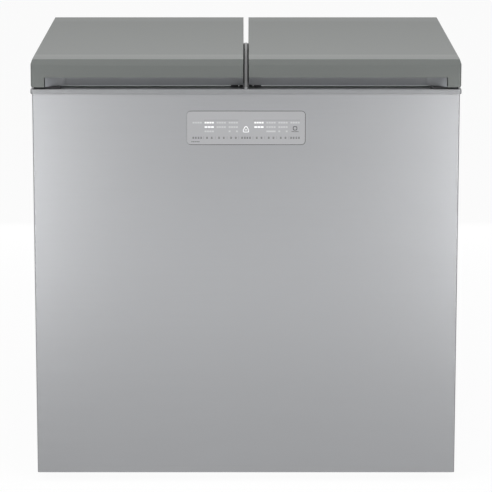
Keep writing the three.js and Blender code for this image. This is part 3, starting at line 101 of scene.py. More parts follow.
def make_world():
    world = bpy.data.worlds.new("studio")
    world.use_nodes = True
    tree = world.node_tree
    tree.nodes.clear()
    lit = tree.nodes.new("ShaderNodeBackground")
    lit.inputs["Color"].default_value = WHITE
    lit.inputs["Strength"].default_value = WORLD_LIGHT
    white = tree.nodes.new("ShaderNodeBackground")
    white.inputs["Color"].default_value = WHITE
    white.inputs["Strength"].default_value = 1.0
    mix = tree.nodes.new("ShaderNodeMixShader")
    out = tree.nodes.new("ShaderNodeOutputWorld")
    tree.links.new(background_rays(tree), mix.inputs[0])
    tree.links.new(lit.outputs[0], mix.inputs[1])
    tree.links.new(white.outputs[0], mix.inputs[2])
    tree.links.new(mix.outputs[0], out.inputs[0])
    scene.world = world


def area_light(name, place, target, size, watts):
    light = bpy.data.lights.new(name, "AREA")
    light.shape = "RECTANGLE"
    light.size, light.size_y = size
    light.energy = watts
    lamp = bpy.data.objects.new(name, light)
    scene.collection.objects.link(lamp)
    lamp.location = place
    lamp.rotation_euler = (Vector(target) - Vector(place)).to_track_quat("-Z", "Y").to_euler()
    lamp.visible_camera = False


def make_floor():
    mesh = bpy.data.meshes.new("floor")
    half = FLOOR_HALF
    corners = [(-half, -half, 0), (half, -half, 0), (half, half, 0), (-half, half, 0)]
    mesh.from_pydata(corners, [], [(0, 1, 2, 3)])
    floor = bpy.data.objects.new("floor", mesh)
    scene.collection.objects.link(floor)
    paint = bpy.data.materials.new("floor")
    paint.use_nodes = True
    tree = paint.node_tree
    tree.nodes.clear()
    diffuse = tree.nodes.new("ShaderNodeBsdfDiffuse")
    diffuse.inputs["Color"].default_value = FLOOR_COLOUR
    glow = tree.nodes.new("ShaderNodeEmission")
    glow.inputs["Color"].default_value = WHITE
    glow.inputs["Strength"].default_value = 1.0
    share = tree.nodes.new("ShaderNodeMath")
    share.operation = "MULTIPLY"
    share.inputs[1].default_value = FLOOR_WHITE_SHARE
    mix = tree.nodes.new("ShaderNodeMixShader")
    out = tree.nodes.new("ShaderNodeOutputMaterial")
    tree.links.new(background_rays(tree), share.inputs[0])
    tree.links.new(share.outputs[0], mix.inputs[0])
    tree.links.new(diffuse.outputs[0], mix.inputs[1])
    tree.links.new(glow.outputs[0], mix.inputs[2])
    tree.links.new(mix.outputs[0], out.inputs[0])
    mesh.materials.append(paint)


make_world()
make_floor()
for lamp in LAMPS:
    area_light(*lamp)

# ---- materials -----------------------------------------------------------------------------


class Look:
    """A Principled material whose colour, roughness and bump come from noise in object space.

    Scales are in waves per metre, and bump distances in metres.
    """

    def __init__(self, name, roughness, metallic=0.0, **constants):
        self.material = bpy.data.materials.new(name)
        self.material.use_nodes = True
        self.tree = self.material.node_tree
        self.shader = self.tree.nodes["Principled BSDF"]
        self.shader.inputs["Roughness"].default_value = roughness
        self.shader.inputs["Metallic"].default_value = metallic
        for socket, value in constants.items():
            self.shader.inputs[socket.replace("_", " ")].default_value = value
        self.place = self.node("ShaderNodeTexCoord").outputs["Object"]

    def node(self, kind, **settings):
        made = self.tree.nodes.new(kind)
        for key, value in settings.items():
            setattr(made, key, value)
        return made

    def link(self, source, target):
        self.tree.links.new(source, target)

    def stretched(self, stretch):
        mapping = self.node("ShaderNodeMapping")
        mapping.inputs["Scale"].default_value = stretch
        self.link(self.place, mapping.inputs["Vector"])
        return mapping.outputs["Vector"]

    def noise(self, scale, detail=4.0, stretch=(1, 1, 1)):
        texture = self.node("ShaderNodeTexNoise")
        texture.inputs["Scale"].default_value = scale
        texture.inputs["Detail"].default_value = detail
        texture.inputs["Roughness"].default_value = 0.55
        self.link(self.stretched(stretch), texture.inputs["Vector"])
        return texture.outputs["Fac"]

    def cells(self, scale):
        texture = self.node("ShaderNodeTexVoronoi", feature="F1")
        texture.inputs["Scale"].default_value = scale
        self.link(self.place, texture.inputs["Vector"])
        return texture

    def ramp(self, value, stops):
        ramp = self.node("ShaderNodeValToRGB")
        elements = ramp.color_ramp.elements
        while len(elements) < len(stops):
            elements.new(0.5)
        for element, (position, colour) in zip(elements, stops):
            element.position = position
            element.color = (*colour, 1)
        self.link(value, ramp.inputs["Fac"])
        return ramp.outputs["Color"]

    def range(self, value, low, high, start=0.3, end=0.7):
        span = self.node("ShaderNodeMapRange")
        span.inputs["From Min"].default_value = start
        span.inputs["From Max"].default_value = end
        span.inputs["To Min"].default_value = low
        span.inputs["To Max"].default_value = high
        self.link(value, span.inputs["Value"])
        return span.outputs["Result"]

    def mixed(self, share, first, second):
        """first and second are colours or sockets, share a number or a socket."""
        mix = self.node("ShaderNodeMix", data_type="RGBA", blend_type="MIX")
        for value, socket in ((share, mix.inputs[0]), (first, mix.inputs[6]), (second, mix.inputs[7])):
            if isinstance(value, bpy.types.NodeSocket):
                self.link(value, socket)
            else:
                socket.default_value = value if isinstance(value, (int, float)) else (*value, 1)
        return mix.outputs[2]

    def edge_highlighted(self, base, edge):
        """base, turning to edge where the surface is sharply convex, which is above 0.5: a painted highlight on
        convex edges.
        """
        point = self.node("ShaderNodeNewGeometry").outputs["Pointiness"]
        return self.mixed(self.range(point, 0.0, 0.5, 0.52, 0.62), base, edge)

    def colour(self, source):
        self.link(source, self.shader.inputs["Base Color"])

    def rough(self, source):
        self.link(source, self.shader.inputs["Roughness"])

    def raised(self, height, distance, strength):
        bump = self.node("ShaderNodeBump")
        bump.inputs["Strength"].default_value = strength
        bump.inputs["Distance"].default_value = distance
        self.link(height, bump.inputs["Height"])
        self.link(bump.outputs["Normal"], self.shader.inputs["Normal"])


def shade(colour, factor):
    return tuple(min(1.0, c * factor) for c in colour)


def spread(colour, contrast):
    """Ramp stops from a little darker to a little brighter than colour."""
    return [(0.3, shade(colour, 1 - contrast)), (0.7, shade(colour, 1 + contrast))]


def brushed(name, colour, stretch, roughness, contrast):
    look = Look(name, roughness, 1.0)
    fine = look.noise(900, 3, stretch)
    broad = look.noise(60, 3, stretch)
    cloud = look.noise(1.4, 2)
    grain = look.mixed(0.35, fine, broad)
    tone = look.ramp(grain, spread(colour, contrast))
    look.colour(look.mixed(look.range(cloud, 0.0, 0.5), tone, shade(colour, 0.97)))
    look.rough(look.range(grain, roughness - 0.05, roughness + 0.06))
    look.raised(grain, 0.00002, 0.35)
    return look.material


def plastic(name, colour, roughness, grain=1600, depth=0.00002, contrast=0.04, ior=1.46):
    look = Look(name, roughness, 0.0, IOR=ior)
    skin = look.noise(grain, 3)
    cloud = look.noise(2.5, 3)
    tone = look.ramp(skin, spread(colour, contrast))
    clouded = look.mixed(look.range(cloud, 0.0, 0.5), tone, shade(colour, 0.96))
    # lighter at sharply convex edges: painted highlight
    look.colour(look.edge_highlighted(clouded, shade(colour, 1.15)))
    look.rough(look.range(cloud, roughness - 0.03, roughness + 0.04))
    look.raised(skin, depth, 0.5)
    return look.material


def painted(name, colour, roughness=0.42, metallic=0.0):
    look = Look(name, roughness, metallic, Coat_Weight=0.15, Coat_Roughness=0.3)
    peel = look.noise(420, 2)
    cloud = look.noise(3.0, 3)
    tone = look.ramp(cloud, [(0.25, shade(colour, 0.97)), (0.75, shade(colour, 1.03))])
    # lighter at sharply convex edges: painted highlight
    look.colour(look.edge_highlighted(tone, shade(colour, 1.25)))
    look.rough(look.range(peel, roughness - 0.03, roughness + 0.03))
    look.raised(peel, 0.00003, 0.4)
    return look.material


def spangled(name, colour):
    look = Look(name, 0.42, 0.9)
    flakes = look.cells(95)
    grey = look.node("ShaderNodeRGBToBW")
    look.link(flakes.outputs["Color"], grey.inputs["Color"])
    look.colour(look.ramp(grey.outputs["Val"], [(0.1, shade(colour, 0.86)), (0.9, shade(colour, 1.1))]))
    look.rough(look.range(grey.outputs["Val"], 0.34, 0.52, 0.0, 1.0))
    look.raised(look.noise(240, 3), 0.00002, 0.3)
    return look.material


def metal(name, colour, roughness):
    look = Look(name, roughness, 1.0)
    spots = look.noise(220, 4)
    tone = look.ramp(spots, spread(colour, 0.1))
    # lighter at sharply convex edges: painted highlight
    look.colour(look.edge_highlighted(tone, shade(colour, 1.2)))
    look.rough(look.range(look.noise(66, 3), roughness - 0.07, roughness + 0.1))
    look.raised(spots, 0.00002, 0.3)
    return look.material


def rubbery(name, colour):
    look = Look(name, 0.72, 0.0, Specular_IOR_Level=0.35)
    skin = look.noise(1200, 4)
    look.colour(look.ramp(look.noise(30, 4), [(0.3, shade(colour, 0.85)), (0.7, shade(colour, 1.2))]))
    look.rough(look.range(skin, 0.62, 0.82))
    look.raised(skin, 0.00003, 0.5)
    return look.material


def foamed(name, colour):
    look = Look(name, 0.9, 0.0)
    pores = look.cells(900)
    tone = look.ramp(pores.outputs["Distance"], [(0.0, shade(colour, 0.72)), (0.5, colour)])
    look.colour(look.mixed(look.range(look.noise(25, 4), 0.0, 0.35), tone, shade(colour, 0.85)))
    look.rough(look.range(pores.outputs["Distance"], 0.95, 0.8, 0.0, 0.6))
    look.raised(pores.outputs["Distance"], 0.0004, 0.6)
    return look.material


def circuit(name, colour):
    look = Look(name, 0.4, 0.0, Coat_Weight=0.4)
    bricks = look.node("ShaderNodeTexBrick")
    bricks.inputs["Scale"].default_value = 90
    bricks.inputs["Mortar Size"].default_value = 0.06
    bricks.inputs["Color1"].default_value = (*colour, 1)
    bricks.inputs["Color2"].default_value = (*shade(colour, 1.15), 1)
    bricks.inputs["Mortar"].default_value = (*shade(colour, 1.6), 1)
    look.link(look.stretched((1, 1, 1)), bricks.inputs["Vector"])
    look.colour(bricks.outputs["Color"])
    look.rough(look.range(look.noise(80), 0.35, 0.5))
    look.raised(bricks.outputs["Fac"], 0.00003, 0.4)
    return look.material


def polish(material, span, stops):
    """Sets the roughness by the place from front to back, by (share of span, roughness) stops."""
    tree = material.node_tree
    split = tree.nodes.new("ShaderNodeSeparateXYZ")
    tree.links.new(tree.nodes["Texture Coordinate"].outputs["Object"], split.inputs[0])
    place = tree.nodes.new("ShaderNodeMapRange")
    place.inputs["From Min"].default_value, place.inputs["From Max"].default_value = span
    tree.links.new(split.outputs["Y"], place.inputs["Value"])
    ramp = tree.nodes.new("ShaderNodeValToRGB")
    while len(ramp.color_ramp.elements) < len(stops):
        ramp.color_ramp.elements.new(0.5)
    for element, (position, roughness) in zip(ramp.color_ramp.elements, stops):
        element.position = position
        element.color = (roughness, roughness, roughness, 1)
    tree.links.new(place.outputs["Result"], ramp.inputs["Fac"])
    shader = tree.nodes["Principled BSDF"]
    tree.links.new(ramp.outputs["Color"], shader.inputs["Roughness"])


LID_SPAN = (-0.39, 0.365)  # front and rear of the lids, in metres
LID_POLISH = ((0.0, 0.36), (0.088, 0.36), (0.096, 0.42), (0.868, 0.47), (0.876, 0.45))

STEEL_FRONT = brushed("steel_front", (0.305, 0.309, 0.318), (0.012, 1, 1), 0.44, 0.035)
TRIM_METAL = painted("trim_metal", (0.222, 0.226, 0.233), 0.36, 0.45)
STEEL_PAINTED = painted("steel_painted", (0.30, 0.31, 0.32))
GALVANISED = spangled("galvanised", (0.52, 0.53, 0.54))
LID_PLASTIC = plastic("lid_plastic", (0.104, 0.112, 0.107), 0.44, ior=1.48)
polish(LID_PLASTIC, LID_SPAN, LID_POLISH)
LINER_PLASTIC = plastic("liner_plastic", (0.62, 0.64, 0.65), 0.3, 500, 0.00001, 0.015)
FOAM = foamed("foam", (0.78, 0.68, 0.42))
RUBBER = rubbery("rubber", (0.02, 0.02, 0.022))
# lighter and bluer than the lid plastic: painted light bounced up into the finger recess
GRIP_PAINTED_BOUNCE = plastic("grip_painted_bounce", (0.185, 0.192, 0.203), 0.35)
GASKET_RUBBER = rubbery("gasket_rubber", (0.16, 0.165, 0.17))
DARK_PLASTIC = plastic("dark_plastic", (0.03, 0.032, 0.035), 0.5, 900, 0.00003, 0.1)
WINDOW_PLASTIC = plastic("window_plastic", (0.318, 0.32, 0.328), 0.3, 2200, 0.000006, 0.02)
BOARD = circuit("board", (0.02, 0.16, 0.06))
COPPER = metal("copper", (0.72, 0.40, 0.26), 0.3)
BLACK_STEEL = painted("black_steel", (0.012, 0.012, 0.013), 0.25)
ZINC = metal("zinc", (0.34, 0.345, 0.355), 0.42)
PRINT_WHITE = plastic("print_white", (0.80, 0.81, 0.82), 0.4, 3000, 0.000004, 0.02)
PRINT_FAINT = plastic("print_faint", (0.42, 0.425, 0.435), 0.4, 3000, 0.000004, 0.02)
PRINT_GREY = plastic("print_grey", (0.19, 0.193, 0.198), 0.4, 3000, 0.000004, 0.03)
PRINT_DARK = plastic("print_dark", (0.05, 0.052, 0.055), 0.4, 3000, 0.000004, 0.03)

MATERIAL_OF_SLOT = {
    "stainless": STEEL_FRONT, "trim": TRIM_METAL, "painted_steel": STEEL_PAINTED,
    "galvanised": GALVANISED, "lid_plastic": LID_PLASTIC, "liner_plastic": LINER_PLASTIC,
    "foam": FOAM, "rubber": RUBBER, "dark_plastic": DARK_PLASTIC, "window_plastic": WINDOW_PLASTIC,
    "circuit_board": BOARD, "copper": COPPER, "black_steel": BLACK_STEEL, "zinc": ZINC,
}

# ---- edges and shading of the construction's solids ------------------------------------------

MERGE = 0.00001  # metres, corners closer than this are one
SAME_PLANE = 0.003  # radians, between faces that are one flat face
BEVEL_FROM = 40  # degrees between two faces, for an edge that gets a bevel
BEVEL_SEGMENTS = 2
SMOOTH_TO = 35  # degrees between two faces, for an edge that stays smooth


def smoothing_group():
    """Geometry nodes that join split corners, drop stored normals and shade smooth up to an angle."""
    group = bpy.data.node_groups.new("soft_shading", "GeometryNodeTree")
    group.interface.new_socket("Geometry", in_out="INPUT", socket_type="NodeSocketGeometry")
    group.interface.new_socket("Geometry", in_out="OUTPUT", socket_type="NodeSocketGeometry")
    nodes, links = group.nodes, group.links
    entry = nodes.new("NodeGroupInput")
    leave = nodes.new("NodeGroupOutput")
    bare = nodes.new("GeometryNodeRemoveAttribute")
    bare.inputs["Name"].default_value = "custom_normal"
    merge = nodes.new("GeometryNodeMergeByDistance")
    merge.inputs["Distance"].default_value = MERGE
    faces = nodes.new("GeometryNodeSetShadeSmooth")
    faces.domain = "FACE"
    faces.inputs["Shade Smooth"].default_value = True
    edges = nodes.new("GeometryNodeSetShadeSmooth")
    edges.domain = "EDGE"
    edges.inputs["Shade Smooth"].default_value = False
    angle = nodes.new("GeometryNodeInputMeshEdgeAngle")
    sharp = nodes.new("FunctionNodeCompare")
    sharp.inputs["B"].default_value = math.radians(SMOOTH_TO)
    links.new(angle.outputs["Unsigned Angle"], sharp.inputs["A"])
    links.new(sharp.outputs["Result"], edges.inputs["Selection"])
    links.new(entry.outputs[0], bare.inputs[0])
    links.new(bare.outputs[0], merge.inputs[0])
    links.new(merge.outputs[0], faces.inputs[0])
    links.new(faces.outputs[0], edges.inputs[0])
    links.new(edges.outputs[0], leave.inputs[0])
    return group


SMOOTHING = smoothing_group()


def soften(made, bevel=0.0):
    """Bevels the sharp edges of a piece by bevel, in mm, and shades what is round as round."""
    joined = made.modifiers.new("joined", "NODES")
    joined.node_group = SMOOTHING
    if bevel:
        flat = made.modifiers.new("flat", "DECIMATE")
        flat.decimate_type = "DISSOLVE"
        flat.angle_limit = SAME_PLANE
        edge = made.modifiers.new("edge", "BEVEL")
        edge.width = bevel * MM
        edge.segments = BEVEL_SEGMENTS
        edge.limit_method = "ANGLE"
        edge.angle_limit = math.radians(BEVEL_FROM)
        shaded = made.modifiers.new("shaded", "NODES")
        shaded.node_group = SMOOTHING
    weighted = made.modifiers.new("weighted", "WEIGHTED_NORMAL")
    weighted.keep_sharp = True


BEVEL_OF_NODE = {
    "lid_cover": 0.45, "top_frame": 0.25, "front_panel": 0.25, "side_panel": 0.3,
    "back_panel": 0.25, "base_pan": 0.3, "display_window": 0.25, "display_case": 0.4,
    "display_board": 0.2, "hinge_arm": 0.2, "hinge_bracket": 0.2, "hinge_pin": 0.3,
    "control_box": 0.8, "fan_frame": 0.5, "foot_pad": 0.6, "foot_stem": 0.3, "roller": 0.5,
    "power_inlet": 0.5,
}


def dress_nodes():
    slot_of = {row["node"]: row["material_slot"] for row in frame["record"]["subparts"]}
    for name, node in frame["nodes"].items():
        node.data.materials.clear()
        node.data.materials.append(MATERIAL_OF_SLOT[slot_of[name]])
        bevels = [width for start, width in BEVEL_OF_NODE.items() if name.startswith(start)]
        soften(node, max(bevels, default=0.0))


dress_nodes()

# ---- building pieces, in mm --------------------------------------------------------------

ALONG = {"y": lambda u, v, w: (u, w, v), "z": lambda u, v, w: (u, v, w)}


def corners(node):
    """Lowest and highest corner of a construction solid, in mm."""
    low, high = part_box(node)
    return low / MM, high / MM


def rounded(u0, v0, u1, v1, r, steps=6):
    """Outline of a rectangle with round corners, anticlockwise."""
    points = []
    centres = ((u1 - r, v0 + r), (u1 - r, v1 - r), (u0 + r, v1 - r), (u0 + r, v0 + r))
    for quarter, (u, v) in enumerate(centres):
        for i in range(steps + 1):
            angle = math.radians(90 * (quarter - 1 + i / steps))
            points.append((u + r * math.cos(angle), v + r * math.sin(angle)))
    return points


def rectangle(u0, v0, u1, v1):
    return [(u0, v0), (u1, v0), (u1, v1), (u0, v1)]


def circle(r, sides):
    turn = [2 * math.pi * i / sides for i in range(sides)]
    return [(r * math.cos(angle), r * math.sin(angle)) for angle in turn]


def loop(bm, outline, axis, height):
    return [bm.verts.new(Vector(ALONG[axis](u, v, height)) * MM) for u, v in outline]


def bridge(bm, first, second):
    count = len(first)
    for i in range(count):
        j = (i + 1) % count
        bm.faces.new((first[i], first[j], second[j], second[i]))


def stack(bm, axis, levels):
    """A closed solid through outlines of equal length, each at its own height along axis."""
    loops = [loop(bm, outline, axis, height) for height, outline in levels]
    bm.faces.new(loops[0])
    bm.faces.new(loops[-1])
    for first, second in zip(loops, loops[1:]):
        bridge(bm, first, second)


def frame_ring(bm, axis, outer, inner, low, high):
    """A closed ring between two outlines of equal length."""
    loops = [loop(bm, outer, axis, low), loop(bm, outer, axis, high),
             loop(bm, inner, axis, high), loop(bm, inner, axis, low)]
    for first, second in zip(loops, loops[1:] + loops[:1]):
        bridge(bm, first, second)


def lathe(bm, profile, sides):
    """A closed solid of revolution about Z through (radius, height) points from axis to axis."""
    rings = []
    for r, height in profile:
        rings.append(loop(bm, circle(r, sides) if r else [(0, 0)], "z", height))
    for first, second in zip(rings, rings[1:]):
        for i in range(sides):
            j = (i + 1) % sides
            a, b = (first[n % len(first)] for n in (i, j))
            c, d = (second[n % len(second)] for n in (j, i))
            bm.faces.new(list(dict.fromkeys((a, b, c, d))))


def placed(bm, build, matrix):
    """Runs build on its own mesh, moves the result by matrix and adds it to bm."""
    part = bmesh.new()
    build(part)
    part.transform(matrix)
    mesh = bpy.data.meshes.new("part")
    part.to_mesh(mesh)
    part.free()
    bm.from_mesh(mesh)
    bpy.data.meshes.remove(mesh)


def piece(name, body, material, build):
    """A piece of the scene's own, filled by build(bm), that rides on body."""
    bm = bmesh.new()
    build(bm)
    bmesh.ops.recalc_face_normals(bm, faces=bm.faces)
    mesh = bpy.data.meshes.new(name)
    bm.to_mesh(mesh)
    bm.free()
    mesh.materials.append(material)
    made = bpy.data.objects.new(name, mesh)
    scene.collection.objects.link(made)
    soften(made)
    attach(made, body)
    return made


# ---- display -----------------------------------------------------------------------------

WINDOW_CORNER_R = 8
WINDOW_FLANGE = 7  # behind the panel, round the visible window
SHADOW_RING_GAP = 0.05  # shadow ring to the window
SHADOW_RING_WIDTH = 1.0
SHADOW_RING_WIDTH_LEFT = 0.2  # thinner on the left, where light falls on the seam: painted shade
SHADOW_RING_PROUD = 0.15  # shadow ring, in front of the steel
PRINT_THICK = 0.06
HALF_STARTS = (-114.8, 17.9)  # left ends of the two halves' columns, from the middle of the window
COLUMNS = 4  # in each half
COLUMN_PITCH = 25.85
WORD_WIDTH = 19.8
WORD_HEIGHT = 3.4
MARK_GAP = 1.0
LINE = 0.8  # width of the headers and separators
HEADERS = ((0, 1, 1.5), (1, 0, 2))  # half, first column, and how far the line starts before it
HEADER_PAST = 1  # header's end, past its last word
HEADER_DROP = 19.1  # all drops are from the window's top edge
ROW_DROPS = (24.6, 34.2, 43.5)
BRIGHT_WORDS = ((0, 1, 0, 4), (0, 1, 1, 3), (1, 0, 0, 4), (1, 0, 1, 3))  # half, column, row, marks
FAINT_WORDS = (
    (0, 0, 0, 4), (0, 2, 0, 4), (0, 3, 0, 4), (0, 2, 1, 4), (0, 3, 1, 4), (0, 1, 2, 4),
    (1, 1, 0, 4), (1, 2, 0, 4), (1, 3, 0, 4), (1, 1, 1, 4), (1, 2, 1, 4), (1, 1, 2, 1),
)
END_MARKS = ((0, 3, 2), (1, 2, 2))  # half, column, row of two marks at the ends of a word's place
END_MARK_WIDTH = 3.8
ICON_TOP_DROP = 32.3
ICON_HEIGHT = 13.4
ICON_HALVES = (2.6, 6.3)  # half widths at the top and the foot
ICON_LINE = 1.3
ICON_WAIST = 0.45  # share of the height where the foot's width begins
ICON_FOOT = (0.8, 0.25)  # share of the foot's half width at the base, and its chamfer's rise
ICON_HEAD = (0.6, 1)  # share of the head's half width at the top, and its chamfer's drop
ICON_BAR = 0.6  # share of the height from the top to the crossbar
BADGE_X = 105.4
BADGE_DROP = 36.9
BADGE_HALF = 4.6
BADGE_LINE = 1.5
BADGE_CORNERS = (3, 1.8)  # radius of the ring's outer and inner corners
BADGE_WORD_DROP = 44.1
BADGE_WORD = (14.4, 1.6, 5)  # width, height and marks
KEY_DROP = 57.5
KEY_FOUR = (1.5, 6.9, 12.8, 18.4)  # marks of a key's legend, from the left end of its place
KEY_FOUR_COLUMN = (0, 3)  # column of the legend with four marks, in each half
KEY_TWO = (5.2, 15.3)
KEY_MIDDLE = (-8.4, -2.5, 2.9, 8.6)  # marks of the legend in the window's middle
KEY_MARK = (3.5, 1.4, 2.4)  # width and height of each of a mark's two bars, and their pitch
SEPARATOR_HEIGHT = 6.0
SEPARATORS = (-91.6, -66.0, -40.7, -15.5, 15.1, 40.3, 66.0, 92.2)
NOTE_DROP = 66.1  # small legend at the foot of the window
NOTE_START = -117.5
NOTE_WIDTH = 17.5
NOTE_HEIGHT = 1.5
NOTE_MARKS = 5


def bar(bm, x0, x1, z, height, y):
    """A thin printed bar on the face at y, centred on z."""
    outline = rectangle(x0, z - height / 2, x1, z + height / 2)
    stack(bm, "y", [(y - PRINT_THICK, outline), (y, outline)])


def word(bm, x0, width, z, height, marks, y):
    """A row of plain marks that stands for a short legend."""
    pitch = (width + MARK_GAP) / marks
    for i in range(marks):
        start = x0 + i * pitch
        bar(bm, start, start + pitch - MARK_GAP, z, height, y)


def dress_display():
    low, high = corners("display_window")
    panel_y = corners("front_panel")[0].y
    face_y = low.y
    x1 = high.x - WINDOW_FLANGE
    top = high.z - WINDOW_FLANGE
    bottom = low.z + WINDOW_FLANGE

    def grown(left, rest):
        return rounded(-x1 - left, bottom - rest, x1 + rest, top + rest, WINDOW_CORNER_R + rest)

    def column(half, i):
        return HALF_STARTS[half] + i * COLUMN_PITCH

    def printed(name, material, build):
        piece(name, "cabinet", material, build)

    # a dark rubber ring round the window: painted shade of the seam, thin on the lit left side
    piece("display_shadow_ring", "cabinet", RUBBER, lambda bm: frame_ring(
        bm, "y", grown(SHADOW_RING_GAP + SHADOW_RING_WIDTH_LEFT, SHADOW_RING_WIDTH), grown(SHADOW_RING_GAP, SHADOW_RING_GAP),
        panel_y - SHADOW_RING_PROUD, panel_y + SHADOW_RING_PROUD,
    ))

    def words(table):
        def build(bm):
            for half, i, row, marks in table:
                word(bm, column(half, i), WORD_WIDTH, top - ROW_DROPS[row], WORD_HEIGHT, marks, face_y)
        return build

    printed("legends_bright", PRINT_WHITE, words(BRIGHT_WORDS))
    printed("legends_faint", PRINT_FAINT, words(FAINT_WORDS))

    def end_marks(bm):
        for half, i, row in END_MARKS:
            for x in (column(half, i), column(half, i) + WORD_WIDTH - END_MARK_WIDTH):
                bar(bm, x, x + END_MARK_WIDTH, top - ROW_DROPS[row], WORD_HEIGHT, face_y)

    printed("legends_ends", PRINT_FAINT, end_marks)

    def icon(bm):
        def outline(inset):
            head, foot = (half - inset for half in ICON_HALVES)
            z1 = top - ICON_TOP_DROP - inset
            z0 = z1 + 2 * inset - ICON_HEIGHT
            waist = z0 + (z1 - z0) * ICON_WAIST
            base, crown = foot * ICON_FOOT[0], head * ICON_HEAD[0]
            low_z, high_z = z0 + foot * ICON_FOOT[1], z1 - ICON_HEAD[1]
            return [
                (-base, z0), (base, z0), (foot, low_z), (foot, waist), (head, high_z),
                (crown, z1), (-crown, z1), (-head, high_z), (-foot, waist), (-foot, low_z),
            ]
        frame_ring(bm, "y", outline(0), outline(ICON_LINE), face_y - PRINT_THICK, face_y)
        z = top - ICON_TOP_DROP - ICON_HEIGHT * ICON_BAR
        bar(bm, -ICON_HALVES[0], ICON_HALVES[0], z, ICON_LINE, face_y)

    printed("legend_icon", PRINT_WHITE, icon)

    def headers(bm):
        for half, i, before in HEADERS:
            x0, x1 = column(half, i) - before, column(half, COLUMNS - 1) + WORD_WIDTH + HEADER_PAST
            bar(bm, x0, x1, top - HEADER_DROP, LINE, face_y)
        for x in SEPARATORS:
            bar(bm, x - LINE / 2, x + LINE / 2, top - KEY_DROP, SEPARATOR_HEIGHT, face_y)

    printed("display_lines", PRINT_GREY, headers)

    def key_legends(bm):
        places = list(KEY_MIDDLE)
        for half in (0, 1):
            for i in range(COLUMNS):
                marks = KEY_FOUR if i == KEY_FOUR_COLUMN[half] else KEY_TWO
                places += [column(half, i) + x for x in marks]
        width, height, pitch = KEY_MARK
        for x in places:
            for rise in (-pitch / 2, pitch / 2):
                bar(bm, x - width / 2, x + width / 2, top - KEY_DROP + rise, height, face_y)
        word(bm, NOTE_START, NOTE_WIDTH, top - NOTE_DROP, NOTE_HEIGHT, NOTE_MARKS, face_y)

    printed("key_legends", PRINT_DARK, key_legends)

    def badge(bm):
        z = top - BADGE_DROP
        outer, inner = (
            rounded(BADGE_X - half, z - half, BADGE_X + half, z + half, r)
            for half, r in zip((BADGE_HALF, BADGE_HALF - BADGE_LINE), BADGE_CORNERS)
        )
        frame_ring(bm, "y", outer, inner, face_y - PRINT_THICK, face_y)
        width, height, marks = BADGE_WORD
        word(bm, BADGE_X - width / 2, width, top - BADGE_WORD_DROP, height, marks, face_y)

    printed("legend_badge", PRINT_DARK, badge)


dress_display()

# ---- painted shade in the centre gap, pads and gaskets -----------------------------------

RIB_HALF = 3.25
RIB_RISE = 3  # rib between the lids, above the deck
DECK_CLEAR = 0.05
SHADE_FROM_RIB = 0.1
CENTRE_SHADE_WIDTH = 2.3
CENTRE_SHADE_HEIGHT = 2.4
CENTRE_SHADE_ENDS = 4  # dark strip, inside the deck's front and rear edges
CENTRE_SHADE_SHOULDER = 0.6  # share of the height that stands straight
CENTRE_SHADE_CROWN = 0.7  # top's edge, drawn in
BLOCK_WIDTH = 3.1
BLOCK_LENGTH = 24
BLOCK_HEIGHT = 10.2
BLOCK_CLEAR = 0.05  # block's side, further from the rib than the strip's
BLOCK_INSET = 1  # block, behind the deck's front edge
BLOCK_CORNER_R = 0.8
BLOCK_CROWN_R = 0.4
CROWN = 0.5  # chamfer round the top of a dark block, at the centre or under a lid's corner


# black strips and blocks beside the rib: painted shade of the channels between the lids and the rib
def dress_centre_gap():
    low, high = corners("top_frame")
    deck = high.z - RIB_RISE
    start = RIB_HALF + SHADE_FROM_RIB
    for side, label in ((-1, "left"), (1, "right")):
        def strip(bm, side=side):
            x0, x1 = sorted((side * start, side * (start + CENTRE_SHADE_WIDTH)))
            y0, y1 = low.y + CENTRE_SHADE_ENDS, high.y - CENTRE_SHADE_ENDS
            shoulder = CENTRE_SHADE_HEIGHT * CENTRE_SHADE_SHOULDER
            steps = ((DECK_CLEAR, 0), (shoulder, 0), (CENTRE_SHADE_HEIGHT, CENTRE_SHADE_CROWN))
            stack(bm, "z", [
                (deck + rise, rectangle(x0 + inset, y0 + inset, x1 - inset, y1 - inset))
                for rise, inset in steps
            ])

        def block(bm, side=side):
            x0, x1 = sorted((side * (start + BLOCK_CLEAR), side * (start + BLOCK_WIDTH)))
            y0 = low.y + BLOCK_INSET
            y1 = y0 + BLOCK_LENGTH
            outline = rounded(x0, y0, x1, y1, BLOCK_CORNER_R, 3)
            crown = rounded(x0 + CROWN, y0 + CROWN, x1 - CROWN, y1 - CROWN, BLOCK_CROWN_R, 3)
            bottom = deck + CENTRE_SHADE_HEIGHT
            top = bottom + BLOCK_HEIGHT
            stack(bm, "z", [(bottom + DECK_CLEAR, outline), (top - CROWN, outline), (top, crown)])

        piece(f"centre_shade_strip_{label}", "cabinet", RUBBER, strip)
        piece(f"centre_shade_block_{label}", "cabinet", RUBBER, block)


dress_centre_gap()

GASKET_SECTION = (
    (-6.4, 3.7), (-6.5, 2.6), (-5.4, 1.7), (-4.9, 0.5), (-4.0, 0.1), (-2.6, 0.1), (-1.8, 0.6),
    (-0.9, 1.5), (0.9, 1.5), (1.8, 0.6), (2.6, 0.1), (4.0, 0.1), (4.9, 0.5), (5.4, 1.7), (6.5, 2.6),
    (6.4, 3.7),
)  # across the gasket and up from its lowest point: two beads under a flat base
GASKET_HALF = 6.5
GASKET_CORNER_R = 9
GASKET_CORNER_STEPS = 6
PAD_R = 11.5
PAD_SIDES = 24
PAD_GAP = 0.6  # end of the gasket to the pad, in the gasket's middle
PAD_SKEW = 0.65  # more gap there, because the gasket's end is straight and the pad is round


